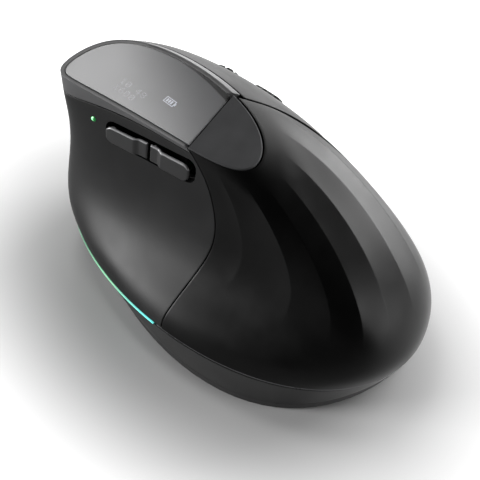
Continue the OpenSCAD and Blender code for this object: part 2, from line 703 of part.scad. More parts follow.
module finger_carrier() {
  color([0.3, 0.31, 0.33]) difference() {
    union() {
      finger() {
        translate([carrier_n - carrier_h, carrier_y0, carrier_s0])
          cube([carrier_h, carrier_y1 - carrier_y0, carrier_s1 - carrier_s0]);
        translate([carrier_n - carrier_h, right_hinge[1] - hinge_post_l / 2, right_hinge[2] - hinge_pad])
          cube([carrier_h, carrier_y0 - right_hinge[1] + hinge_post_l, 2 * hinge_pad]);
        translate([carrier_n - carrier_h, left_hinge[1] - hinge_post_l / 2, 0])
          cube([carrier_h, hinge_post_l, left_hinge[2] + hinge_pad]);
        for (h = [left_hinge, right_hinge], i = [-1, 1])
          translate([carrier_n - eps, h[1] - hinge_post_l / 2, h[2] + i * hinge_post_s - hinge_post_w / 2])
            cube([h[0] - hinge_depth + hinge_post_top - carrier_n, hinge_post_l, hinge_post_w]);
      }
      intersection() {
        for (y = [spine_y0 + 0.5, spine_y1 - arm_w]) translate([spine_x1, y, arm_z]) cube([20, arm_w, arm_h]);
        finger() translate([carrier_n - 30 - carrier_h / 2, carrier_y0, carrier_s0])
          cube([30, carrier_y1 - carrier_y0, carrier_s1 - carrier_s0]);
      }
    }
    finger() {
      for (h = [left_hinge, right_hinge]) translate([h[0] - hinge_depth, h[1], h[2]])
        cylinder(h = 2 * hinge_pad + 1, d = pin_d, center = true);
      translate([carrier_n - 6, -cut_l, -cut_w]) cube([8, 2 * cut_l, 2 * cut_w]);
      for (g = guide_at) translate([carrier_n - 6, g[0], g[1]]) rotate([0, 90, 0])
        cylinder(h = 8, d = guide_d + 2 * run_fit);
    }
  }
}
board_y0 = dpi_press[1] - 4;
board_y1 = 11;
board_edge = 3.4;
module finger_board() {
  color([0.05, 0.3, 0.16]) finger() difference() {
    translate([carrier_n, board_y0, right_at[2] - board_edge])
      cube([board_h, board_y1 - board_y0, left_at[2] - right_at[2] + 2 * board_edge]);
    translate([carrier_n - 1, -cut_l, -cut_w]) cube([4, 2 * cut_l + 6, 2 * cut_w]);
    for (g = guide_at) translate([carrier_n - 1, g[0], g[1]]) rotate([0, 90, 0])
      cylinder(h = 4, d = guide_d + 2 * run_fit);
    translate([carrier_n - 1, left_hinge[1] - 3.4, left_hinge[2] - hinge_pad - slide_fit]) cube([4, 6.8, 20]);
  }
}
module micro_switch(at) {
  finger() translate([board_n, at[1] - 6.4, at[2] - 2.9]) {
    cube([switch_h - 0.4, 12.8, 5.8]);
    translate([switch_h - 0.4 - eps, 5.2, 1.7]) cube([0.4 + eps, 2.4, 2.4]);
  }
}
module left_switch() {
  color([0.15, 0.15, 0.16]) micro_switch(left_at);
}
module right_switch() {
  color([0.15, 0.15, 0.16]) micro_switch(right_at);
}
module tact(at) {
  finger() translate([board_n, at[1], at[2]]) {
    translate([0, -tact_w / 2, -tact_w / 2]) cube([tact_h, tact_w, tact_w]);
    rotate([0, 90, 0]) cylinder(h = tact_h + nub_h, d = 2);
  }
}
module middle_switch() {
  color([0.16, 0.16, 0.17]) tact([0, middle_y, 0]);
}
module dpi_switch() {
  color([0.16, 0.16, 0.17]) tact(dpi_press);
}
module side_board() {
  color([0.05, 0.3, 0.16]) translate([side_face, 6, 45]) cube([board_h, 35, rim_z - 7.1 - 45]);
}
module side_switches() {
  color([0.16, 0.16, 0.17]) for (y = [forward_y, back_y])
    translate([side_face - side_tact_h, y - tact_w / 2, key_z - tact_w / 2])
      cube([side_tact_h, tact_w, tact_w]);
}
module display_module() {
  color([0.07, 0.08, 0.1]) on_top(tray_top) translate([2, -16, 0]) cube([8, 27, module_h]);
}
module display_cable() {
  x = spine_x0 - cable_h;
  color([0.5, 0.34, 0.12]) {
    translate([x, cable_y - cable_w / 2, standoff_top + board_h])
      cube([cable_h, cable_w, under_rim([x, cable_y]) + tray_top - 0.4 - standoff_top - board_h]);
    translate([x - cable_w, -4, standoff_top + board_h])
      cube([cable_w + eps, cable_y + cable_w / 2 + 4, cable_h]);
  }
}

// Electronics in the base
module main_board() {
  color([0.05, 0.3, 0.16]) difference() {
    translate([-18, -38, standoff_top]) cube([36, 43, board_h]);
    for (p = board_screw_at) translate([p[0], p[1], 0]) cylinder(h = 20, d = board_screw_d + 2 * hole_fit);
  }
}
module board_screws() {
  color([0.55, 0.55, 0.57]) for (p = board_screw_at) translate([p[0], p[1], standoff_top + board_h]) {
    cylinder(h = 1.2, d = 4);
    translate([0, 0, -board_h - 3]) cylinder(h = board_h + 3.5, d = board_screw_d);
  }
}
module sensor_lens() {
  color([0.8, 0.85, 0.9]) translate([sensor_at[0], sensor_at[1], 0]) {
    translate([-7, -6, plate_top]) cube([14, 12, 1]);
    translate([0, 0, foot_h + 0.6]) cylinder(h = plate_h, d = sensor_hole_d - 2 * slide_fit);
  }
}
module sensor_chip() {
  color([0.06, 0.06, 0.065]) translate([sensor_at[0] - 5, sensor_at[1] - 5, plate_top + 1])
    cube([10, 10, standoff_top - plate_top - 1]);
}
tray_z = 13;
cell_w = 32;
cell_y = -34;
tray_w = 46;
leg_x = 21;
tray_legs = [for (i = [-1, 1], y = [cell_y + 8, cell_y + cell_l - 4]) [i * leg_x, y]];
module battery_tray() {
  color([0.25, 0.26, 0.28]) {
    translate([-tray_w / 2, cell_y, tray_z]) cube([tray_w, cell_l, 1.5]);
    for (p = tray_legs) translate([p[0], p[1], plate_top]) cylinder(h = tray_z - plate_top + eps, d = 4);
  }
}
module battery() {
  color([0.45, 0.47, 0.5]) translate([-cell_w / 2, cell_y, tray_z + 1.5]) cube([cell_w, cell_l, 6]);
}
module usb_board() {
  color([0.05, 0.3, 0.16]) translate([usb_x - 7, usb_board_y, usb_board_z]) cube([14, 9, board_h]);
}
module usb_socket() {
  color([0.7, 0.71, 0.73]) translate([usb_x, usb_y0, usb_z]) rotate([-90, 0, 0]) {
    difference() {
      linear_extrude(usb_y1 - usb_y0) pill(usb_w + 0.3, usb_h + 0.3, 1.6);
      translate([0, 0, 1]) linear_extrude(20) pill(usb_w - 0.3, usb_h - 0.3, 1.3);
    }
    translate([-3.4, -0.35, 1 - eps]) cube([6.8, 0.7, 5]);
  }
}
module power_slider() {
  color([0.6, 0.6, 0.62]) translate([power_at[0], power_at[1] - power_travel / 2, 0]) {
    translate([0, 0, foot_h + 0.4]) linear_extrude(plate_h - 0.2) pill(power_w, power_l, power_r);
    translate([-power_w / 2 - 1, -power_l / 2, plate_top + 0.1]) cube([power_w + 2, power_l, 0.9]);
  }
}
module power_switch() {
  color([0.4, 0.4, 0.42]) translate([power_at[0] - 4, power_at[1] - 6.5, standoff_top - 2.6])
    cube([8, 13, 2.6]);
}
mode_travel = 0.5;
module mode_button() {
  color([0.5, 0.5, 0.52]) translate([mode_at[0], mode_at[1], 0]) {
    translate([0, 0, foot_h + 0.4]) cylinder(h = plate_h - 0.2, d = mode_d);
    translate([0, 0, plate_top + 0.1]) cylinder(h = 0.9, d = mode_d + 2.4);
  }
}
module mode_switch() {
  z = plate_top + 1 + mode_travel + press_gap;
  color([0.16, 0.16, 0.17]) translate([mode_at[0] - tact_w / 2, mode_at[1] - tact_w / 2, z])
    cube([tact_w, tact_w, standoff_top - z]);
}
light_x = -24 * sx;
module light_board() {
  color([0.05, 0.3, 0.16]) translate([light_x, 6, plate_top])
    cube([board_h, 22, skirt_top - plate_top - 0.5]);
}
module light_chips() {
  color([0.9, 0.95, 0.85]) for (y = [9, 15.5, 22]) translate([light_x - 0.9, y, skirt_top - 3])
    cube([0.9, 3, 2]);
}

base_plate();
base_skirt();
trim_ring();
light_strip();
feet();
base_screws();
palm_shell();
thumb_panel();
front_shell();
side_shell();
top_frame();
display_window();
rear_cap();
left_button();
right_button();
button_pins();
centre_strip();
dpi_button();
wheel_tyre();
wheel_hub();
wheel_axle();
wheel_carriage();
wheel_encoder();
forward_key();
back_key();
key_bezel();
status_lamp();
chassis();
finger_carrier();
finger_board();
left_switch();
right_switch();
middle_switch();
dpi_switch();
side_board();
side_switches();
display_module();
display_cable();
main_board();
board_screws();
sensor_lens();
sensor_chip();
battery_tray();
battery();
usb_board();
usb_socket();
power_slider();
power_switch();
mode_button();
mode_switch();
light_board();
light_chips();
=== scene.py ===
"""Looks of a right-hand vertical mouse: its shells, window, keys and finishes, and the studio."""

import logging
import math
from dataclasses import dataclass, field
from enum import Enum
from typing import Callable, Dict, List, Sequence, Tuple

import bpy
import numpy as np
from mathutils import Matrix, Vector


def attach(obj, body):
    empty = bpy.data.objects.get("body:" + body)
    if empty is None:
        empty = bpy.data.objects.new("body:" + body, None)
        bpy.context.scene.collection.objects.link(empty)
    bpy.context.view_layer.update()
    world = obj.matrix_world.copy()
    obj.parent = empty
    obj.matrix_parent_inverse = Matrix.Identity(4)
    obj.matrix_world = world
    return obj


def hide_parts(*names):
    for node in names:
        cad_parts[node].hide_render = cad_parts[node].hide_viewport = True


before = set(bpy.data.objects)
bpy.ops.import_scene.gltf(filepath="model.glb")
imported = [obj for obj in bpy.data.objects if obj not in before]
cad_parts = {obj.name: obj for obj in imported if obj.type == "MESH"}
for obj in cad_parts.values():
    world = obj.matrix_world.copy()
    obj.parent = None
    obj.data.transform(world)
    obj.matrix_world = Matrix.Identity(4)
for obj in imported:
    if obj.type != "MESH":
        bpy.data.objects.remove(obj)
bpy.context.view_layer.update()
LOG = logging.getLogger("mouse")
MM = 0.001
# Half steps for slopes of the outside, in degrees and in shares of its height.
HALF_A, HALF_T = 0.5, 0.005
# Points closer than this many metres are one point.
SAME_POINT = 2e-6
# Corner radii stay this many mm under half the width: of a hole, of a cap.
HOLE_SPARE, CAP_SPARE = 0.001, 0.01
# Where a noise value mostly lies, and where a blend of two colours runs.
NOISE_SPAN, RAMP_SPAN = (0.3, 0.7), (0.32, 0.68)
# Attribute that holds a piece's own mask: the window's printed border, and the painted highlight
# along the thumb keys' upper edges.
MASK = "border"
Array = np.ndarray
Line = Callable[[Array], Array]
Skin = Callable[[Array, Array], Array]
Colour = Tuple[float, float, float]


def level(value: float) -> Line:
    """A line that stays at one value."""
    return lambda x: np.full_like(np.asarray(x, float), value)


def ease(lo: float, hi: float, v: Array) -> Array:
    """Smooth step from 0 at lo to 1 at hi.

    Args:
        lo: Value where the step begins.
        hi: Value where it ends.
        v: Values to look up.

    Returns:
        The step's height for each value.
    """
    f = np.clip((v - lo) / (hi - lo), 0.0, 1.0)
    return f * f * (3 - 2 * f)


@dataclass(frozen=True)
class Axes:
    """A local frame in mm: where it sits, its outward direction, and two directions across."""

    origin: Array
    out: Array
    across: Array
    up: Array

    def place(self, n: Array, u: Array, v: Array) -> Array:
        """Points at heights n and places u, v of the frame."""
        n, u, v = (np.asarray(c, float)[..., None] for c in (n, u, v))
        return self.origin + n * self.out + u * self.across + v * self.up


@dataclass
class Grip:
    """The body's outside, by angle and height.

    Angles are in degrees, 0 at the finger side and 90 at the front. The height t runs from 0 at
    the parting line to 1 at the rim.
    """

    height: Sequence[float] = (12, 18, 28, 40, 52, 61, 66)
    left: Sequence[float] = (-37.25, -35, -24.5, -20, -18.5, -18.5, -18)
    right: Sequence[float] = (37.5, 36, 31.5, 27.5, 23.5, 15.5, 7)
    rear: Sequence[float] = (-60.2, -61.6, -59, -50.5, -36.5, -20, -9.5)
    front: Sequence[float] = (61, 60, 57, 54, 52, 52, 53.3)
    mid_x: Sequence[float] = (-1, -3, -5, -6, -8, -10, -12)
    mid_y: Sequence[float] = (-5, -3, 2, 8, 17, 24, 29)
    lean: Sequence[float] = (-0.03, -0.03, -0.04, -0.05, -0.09, -0.13, -0.13)
    square: Sequence[float] = (0, 0.02, 0.05, 0.06, 0.05, 0.05, 0.03)
    pitch: Sequence[float] = (0, 0, 0.02, 0.04, 0.06, 0.09, 0.1)
    roll: Sequence[float] = (0, 0, 0.02, 0.03, 0.05, 0.07, 0.08)
    floor_row: Sequence[float] = (0.8, -37.4, 31, -55.8, 58.2, 4, -13, -0.03, 0, 0, 0)
    plate_top: float = 2.8
    skirt_flare: float = 0.7
    thumb_low: float = 175.5
    thumb_rise: float = 38.5
    thumb_curve: Tuple[float, float, float] = (0.18, 1.9, -1.08)
    lip_mid_a: float = 125.0
    lip_reach_a: float = 72.0
    lip_least: float = 0.03
    lip_swell: float = 0.12
    flute_a: float = 260.0
    flute_mid_t: float = 0.6
    flute_sweep: float = 52.0
    flute_pitch: float = 17.9
    flute_first: float = -3.2
    flute_soft: float = 0.4
    flute_low: Tuple[float, float] = (0.32, 0.5)
    flute_high: Tuple[float, float] = (0.78, 0.93)
    flute_depth: float = 0.45
    rows: Array = field(init=False)
    control: Array = field(init=False)

    def __post_init__(self) -> None:
        """Collects the rows and adds one control row beyond each end."""
        self.rows = np.array([
            self.height, self.left, self.right, self.rear, self.front, self.mid_x, self.mid_y,
            self.lean, self.square, self.pitch, self.roll], float).T
        r = self.rows
        self.control = np.vstack([2 * r[0] - r[1], r, 2 * r[-1] - r[-2]])

    def section(self, t: Array) -> Array:
        """The section's row at each height t.

        Args:
            t: Heights, 0 to 1.

        Returns:
            Section rows, one for each height.
        """
        last = len(self.height) - 1
        s = np.clip(np.asarray(t, float), 0.0, 1.0) * last
        i = np.minimum(np.floor(s), last - 1).astype(int)
        f = (s - i)[..., None]
        c = self.control
        return ((1 - f) ** 3 * c[i] + (3 * f ** 3 - 6 * f ** 2 + 4) * c[i + 1]
                + (1 + 3 * f + 3 * f ** 2 - 3 * f ** 3) * c[i + 2] + f ** 3 * c[i + 3]) / 6

    @staticmethod
    def ring(row: Array, a: Array) -> Array:
        """Points of sections at given angles.

        Args:
            row: Section rows, one per point or one for all.
            a: Angles in degrees.

        Returns:
            Points in mm.
        """
        q = np.radians(np.asarray(a, float))
        columns = np.moveaxis(np.asarray(row, float), -1, 0)
        z0, lo, hi, rear, front, mx, my, lean, k, pitch, roll = columns
        cu = (np.cos(q) - k * np.cos(3 * q)) / (1 - k)
        su = (np.sin(q) + k * np.sin(3 * q)) / (1 - k)
        y = my + ((front - rear) / 2 + ((front + rear) / 2 - my) * np.sin(q)) * su
        x = mx + ((hi - lo) / 2 + ((hi + lo) / 2 - mx) * np.cos(q)) * cu + lean * (y - my)
        return np.stack([x, y, z0 + pitch * (y - my) + roll * (x - mx)], -1)

    def shift_out(self, row: Array, a: Array, d: Array) -> Array:
        """Section points moved out level.

        Args:
            row: Section rows, one per point or one for all.
            a: Angles in degrees.
            d: How far they move, in mm.

        Returns:
            Points in mm.
        """
        side = self.ring(row, a + HALF_A) - self.ring(row, a - HALF_A)
        flat = np.stack([side[..., 1], -side[..., 0], np.zeros_like(side[..., 0])], -1)
        move = np.asarray(d)[..., None] * flat
        return self.ring(row, a) + move / np.linalg.norm(flat, axis=-1, keepdims=True)

    def at(self, a: Array, t: Array) -> Array:
        """Points of the outside at angles a and heights t."""
        return self.ring(self.section(t), a)

    def degrees_for(self, a: Array, t: Array, d: float) -> Array:
        """Angle that spans d mm round the body there."""
        return d / np.linalg.norm(self.at(a + HALF_A, t) - self.at(a - HALF_A, t), axis=-1)

    def height_for(self, a: Array, t: Array, d: float) -> Array:
        """Step of t that spans d mm up the body there."""
        rise = np.linalg.norm(self.at(a, t + HALF_T) - self.at(a, t - HALF_T), axis=-1)
        return 2 * HALF_T * d / rise

    def find(self, axes: Axes, u: Array, v: Array,
             start: Tuple[float, float]) -> Tuple[Array, Array]:
        """Angles and heights where lines along a frame's outward direction meet the outside.

        Args:
            axes: The frame that u and v belong to.
            u: Places across.
            v: Places up.
            start: Angle and height to search from.

        Returns:
            Angles and heights, one for each line.
        """
        rounds, da, dt = 14, 0.05, 0.001
        most_a, most_t, low, high = 6.0, 0.08, 0.02, 0.99
        a, t = (np.full(u.shape, float(s)) for s in start)
        for _ in range(rounds):
            p = self.at(a, t) - axes.origin
            eu, ev = p @ axes.across - u, p @ axes.up - v
            pa = (self.at(a + da, t) - self.at(a - da, t)) / (2 * da)
            pt = (self.at(a, t + dt) - self.at(a, t - dt)) / (2 * dt)
            au, av, tu, tv = pa @ axes.across, pa @ axes.up, pt @ axes.across, pt @ axes.up
            det = au * tv - av * tu
            a = a - np.clip((eu * tv - ev * tu) / det, -most_a, most_a)
            t = np.clip(t - np.clip((au * ev - av * eu) / det, -most_t, most_t), low, high)
        return a, t

    def skirt_row(self, z: Array) -> Array:
        """Rows of the base's side.

        Args:
            z: Heights in mm.

        Returns:
            Section rows, one for each height.
        """
        f = np.clip((z - self.plate_top) / (self.height[0] - self.plate_top), 0, 1)
        low = np.array(self.floor_row, float)
        row = low + (f ** self.skirt_flare)[..., None] * (self.rows[0] - low)
        row[..., 0] = z
        return row

    def thumb_seam(self, t: Array) -> Array:
        """Angle of the seam between thumb panel and palm shell."""
        c = self.thumb_curve
        return self.thumb_low + self.thumb_rise * (c[0] * t + c[1] * t ** 2 + c[2] * t ** 3)

    def lip_low(self, a: Array) -> Array:
        """Height where the top frame begins.

        Args:
            a: Angles in degrees.

        Returns:
            Heights t, lowest at the front left.
        """
        away = np.minimum(abs(a - self.lip_mid_a), abs(a - self.lip_mid_a - 360))
        f = np.minimum(away / self.lip_reach_a, 1)
        return 1 - self.lip_least - self.lip_swell * np.cos(np.pi / 2 * f) ** 2

    def flute(self, a: Array, t: Array) -> Array:
        """Depth of the palm's flutes, which sweep forward as they rise.

        Args:
            a: Angles in degrees.
            t: Heights.

        Returns:
            Level shifts in mm.
        """
        f = (a - self.flute_a - self.flute_sweep * (t - self.flute_mid_t)) / self.flute_pitch
        w = f - np.floor(f)
        start = ease(self.flute_first - self.flute_soft, self.flute_first + self.flute_soft, f)
        fade = start * ease(*self.flute_low, t) * (1 - ease(*self.flute_high, t))
        return -self.flute_depth * fade * (1 - (2 * w - 1) ** 2)

    def rim(self, a: Array, inset: Array) -> Array:
        """Points of the rim's plane, inset from its edge."""
        grow = np.array([0, 1, -1, 1, -1, 0, 0, 0, 0, 0, 0], float)
        return self.ring(self.rows[-1] + np.asarray(inset, float)[..., None] * grow, a)

    def rim_axes(self) -> Axes:
        """Frame of the rim's plane.

        Returns:
            The frame, across to the finger side and up to the front.
        """
        row = self.rows[-1]
        out = np.array([-row[10], -row[9], 1.0])
        out /= np.linalg.norm(out)
        across = np.array([1, 0, row[10]]) / math.hypot(1, row[10])
        return Axes(np.array([row[5], row[6], row[0]]), out, across, np.cross(out, across))

    def finger_axes(self, a: float = 375.0, t: float = 0.62) -> Axes:
        """Frame of the finger side at the wheel.

        Args:
            a: Angle of its origin.
            t: Height of its origin.

        Returns:
            The frame, across along the strip to the front and up the slope.
        """
        def near(da: float, dt: float) -> Array:
            """Point a little away from the origin."""
            return self.at(np.array(a + da), np.array(t + dt))

        da, dt = 1.0, 0.01
        du, dv = near(da, 0) - near(-da, 0), near(0, dt) - near(0, -dt)
        along = du / np.linalg.norm(du)
        out = np.cross(du, dv)
        out /= np.linalg.norm(out)
        return Axes(near(0, 0), out, along, np.cross(out, along))

    @staticmethod
    def thumb_axes() -> Axes:
        """Frame of the thumb side: out to -X, across to the rear, up."""
        return Axes(np.zeros(3), np.array([-1.0, 0, 0]), np.array([0, -1.0, 0]),
                    np.array([0, 0, 1.0]))


GRIP = Grip()


@dataclass(frozen=True)
class Panel:
    """Part of the body between two lines up it and two round it, with a gap in mm at each."""

    lo: Line
    hi: Line
    bottom: Line
    top: Line
    gaps: Tuple[float, float, float, float]
    first_t: float = 0.9
    inside: Tuple[float, float] = (0.01, 0.99)

    def spot(self, u: Array, v: Array) -> Tuple[Array, Array]:
        """Places on the panel.

        Args:
            u: Shares round the body.
            v: Shares up the body.

        Returns:
            Angles and heights.
        """
        def low(t: Array) -> Array:
            """First line with its gap."""
            return self.lo(t) + GRIP.degrees_for(self.lo(t), t, self.gaps[0])

        def high(t: Array) -> Array:
            """Last line with its gap."""
            return self.hi(t) - GRIP.degrees_for(self.hi(t), t, self.gaps[1])

        mid = np.full_like(u, self.first_t)
        a = low(mid) + u * (high(mid) - low(mid))
        t0, t1 = self.bottom(a), self.top(a)
        t0 = t0 + GRIP.height_for(a, np.clip(t0, *self.inside), self.gaps[2])
        t1 = t1 - GRIP.height_for(a, np.clip(t1, *self.inside), self.gaps[3])
        t = t0 + v * (t1 - t0)
        return low(t) + u * (high(t) - low(t)), t


class Bench:
    """Mesh work by operators: start from a primitive, shape it, finish it with modifiers."""

    @staticmethod
    def only(obj: bpy.types.Object) -> None:
        """Selects one object alone and makes it active.

        Args:
            obj: The object.
        """
        bpy.ops.object.select_all(action="DESELECT")
        obj.select_set(True)
        bpy.context.view_layer.objects.active = obj

    @staticmethod
    def grid(name: str, columns: int, rows: int, shape: Skin) -> bpy.types.Object:
        """Adds a grid and lays it on a shape.

        Args:
            name: Name of the piece.
            columns: Faces along the first share.
            rows: Faces along the second share.
            shape: Points in mm for shares 0 to 1 each way.

        Returns:
            The new object.
        """
        bpy.ops.object.select_all(action="DESELECT")
        bpy.ops.mesh.primitive_grid_add(x_subdivisions=columns, y_subdivisions=rows, size=1)
        obj = bpy.context.object
        obj.name = obj.data.name = name
        co = Bench.points(obj)
        u = np.round((co[:, 0] + 0.5) * columns) / columns
        v = np.round((co[:, 1] + 0.5) * rows) / rows
        Bench.set_points(obj, shape(u, v) * MM)
        return obj

    @staticmethod
    def points(obj: bpy.types.Object) -> Array:
        """The mesh's points.

        Args:
            obj: The object.

        Returns:
            Places in metres, one row for each point.
        """
        co = np.zeros(len(obj.data.vertices) * 3)
        obj.data.vertices.foreach_get("co", co)
        return co.reshape(-1, 3)

    @staticmethod
    def set_points(obj: bpy.types.Object, co: Array) -> None:
        """Moves the mesh's points."""
        obj.data.vertices.foreach_set("co", np.ascontiguousarray(co, float).ravel())
        obj.data.update()

    @staticmethod
    def modify(obj: bpy.types.Object, kind: str, **settings: object) -> None:
        """Adds a modifier and applies it.

        Args:
            obj: The object.
            kind: The modifier's kind.
            **settings: What it is set to.
        """
        mod = obj.modifiers.new(kind.title(), kind)
        for key, value in settings.items():
            setattr(mod, key, value)
        Bench.only(obj)
        bpy.ops.object.modifier_apply(modifier=mod.name)

    @staticmethod
    def thicken(obj: bpy.types.Object, wall: float) -> None:
        """Gives a sheet a wall of that many mm, inwards."""
        Bench.modify(obj, "SOLIDIFY", thickness=wall * MM, offset=-1.0)

    @staticmethod
    def round_edges(obj: bpy.types.Object, width: float, segments: int = 3,
                    angle: float = 50.0) -> None:
        """Rounds sharp edges by a width in mm."""
        Bench.modify(obj, "BEVEL", width=width * MM, segments=segments, limit_method="ANGLE",
                     angle_limit=math.radians(angle))

    @staticmethod
    def smooth(obj: bpy.types.Object, angle: float = 40.0) -> None:
        """Smooth shading, with edges over an angle left sharp."""
        Bench.only(obj)
        bpy.ops.object.shade_smooth_by_angle(angle=math.radians(angle))

    @staticmethod
    def edit(obj: bpy.types.Object, *steps: Callable[[], object]) -> None:
        """Runs operators in edit mode, each with the whole mesh selected.

        Args:
            obj: The object.
            *steps: What is run, in order.
        """
        Bench.only(obj)
        bpy.ops.object.mode_set(mode="EDIT")
        for step in steps:
            bpy.ops.mesh.select_all(action="SELECT")
            step()
        bpy.ops.object.mode_set(mode="OBJECT")

    @staticmethod
    def join() -> None:
        """Merges the selection's doubled points."""
        bpy.ops.mesh.remove_doubles(threshold=SAME_POINT)

    @staticmethod
    def face_out() -> None:
        """Turns the selection's faces outwards."""
        bpy.ops.mesh.normals_make_consistent(inside=False)

    @staticmethod
    def merge(obj: bpy.types.Object) -> None:
        """Merges doubled points only."""
        Bench.edit(obj, Bench.join)

    @staticmethod
    def close(obj: bpy.types.Object) -> None:
        """Merges doubled points and closes the open ends."""
        Bench.edit(obj, Bench.join, lambda: bpy.ops.mesh.fill_holes(sides=0), Bench.face_out)

    @staticmethod
    def slice(obj: bpy.types.Object, point: Array, normal: Array, fill: bool) -> None:
        """Cuts off what lies on the normal's side of a plane, given in mm."""
        Bench.edit(obj, lambda: bpy.ops.mesh.bisect(
            plane_co=tuple(point * MM), plane_no=tuple(normal), use_fill=fill, clear_outer=True))

    @staticmethod
    def pill(length: float, width: float, radius: float, steps: int = 12) -> Array:
        """Outline of a rectangle with round corners, counterclockwise.

        Args:
            length: Size along the first direction, in mm.
            width: Size along the second.
            radius: Radius of the corners.
            steps: Edges in each corner.

        Returns:
            Places along the two directions.
        """
        out: List[Tuple[float, float]] = []
        for k, (i, j) in enumerate(((1, 1), (-1, 1), (-1, -1), (1, -1))):
            for s in range(steps + 1):
                q = math.pi / 2 * (k + s / steps)
                out.append((i * (length / 2 - radius) + radius * math.cos(q),
                            j * (width / 2 - radius) + radius * math.sin(q)))
        return np.array(out)

    @staticmethod
    def prism(name: str, axes: Axes, outline: Array, n0: float, n1: float) -> bpy.types.Object:
        """Extrudes an outline along a frame's outward direction.

        Args:
            name: Name of the piece.
            axes: Frame of the outline.
            outline: Places across and up, in mm.
            n0: Height of its start.
            n1: Height of its end.

        Returns:
            The closed prism.
        """
        bpy.ops.object.select_all(action="DESELECT")
        bpy.ops.mesh.primitive_circle_add(vertices=len(outline), fill_type="NGON", radius=1)
        obj = bpy.context.object
        obj.name = name
        start = np.full(len(outline), n0)
        Bench.set_points(obj, axes.place(start, outline[:, 0], outline[:, 1]) * MM)
        move = {"value": tuple(axes.out * (n1 - n0) * MM)}
        Bench.edit(obj, lambda: bpy.ops.mesh.extrude_region_move(TRANSFORM_OT_translate=move),
                   Bench.face_out)
        return obj

    @staticmethod
    def cut(obj: bpy.types.Object, cutter: bpy.types.Object) -> None:
        """Takes a cutter's shape out of a piece and removes the cutter."""
        Bench.modify(obj, "BOOLEAN", operation="DIFFERENCE", solver="EXACT", object=cutter)
        bpy.data.objects.remove(cutter)

    @staticmethod
    def keep(obj: bpy.types.Object, body: str, slot: str, nodes: Sequence[str],
             material: bpy.types.Material) -> None:
        """Dresses a finished piece and puts it on its body in place of its nodes.

        Args:
            obj: The piece.
            body: Body that it rides on.
            slot: Material slot of the record; not used.
            nodes: CAD nodes that it replaces.
            material: Its finish.
        """
        obj.data.materials.clear()
        obj.data.materials.append(material)
        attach(obj, body)
        if nodes:
            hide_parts(*nodes)
        LOG.info("%s: %d faces on %s", obj.name, len(obj.data.polygons), body)


class Grain(Enum):
    """Surface textures of moulded pieces: size of the grain in mm, depth in mm."""

    SATIN = (0.22, 0.006)
    SOFT = (0.30, 0.010)
    MATTE = (0.35, 0.014)
    POLISH = (1.2, 0.0015)
    RUBBER = (0.5, 0.02)


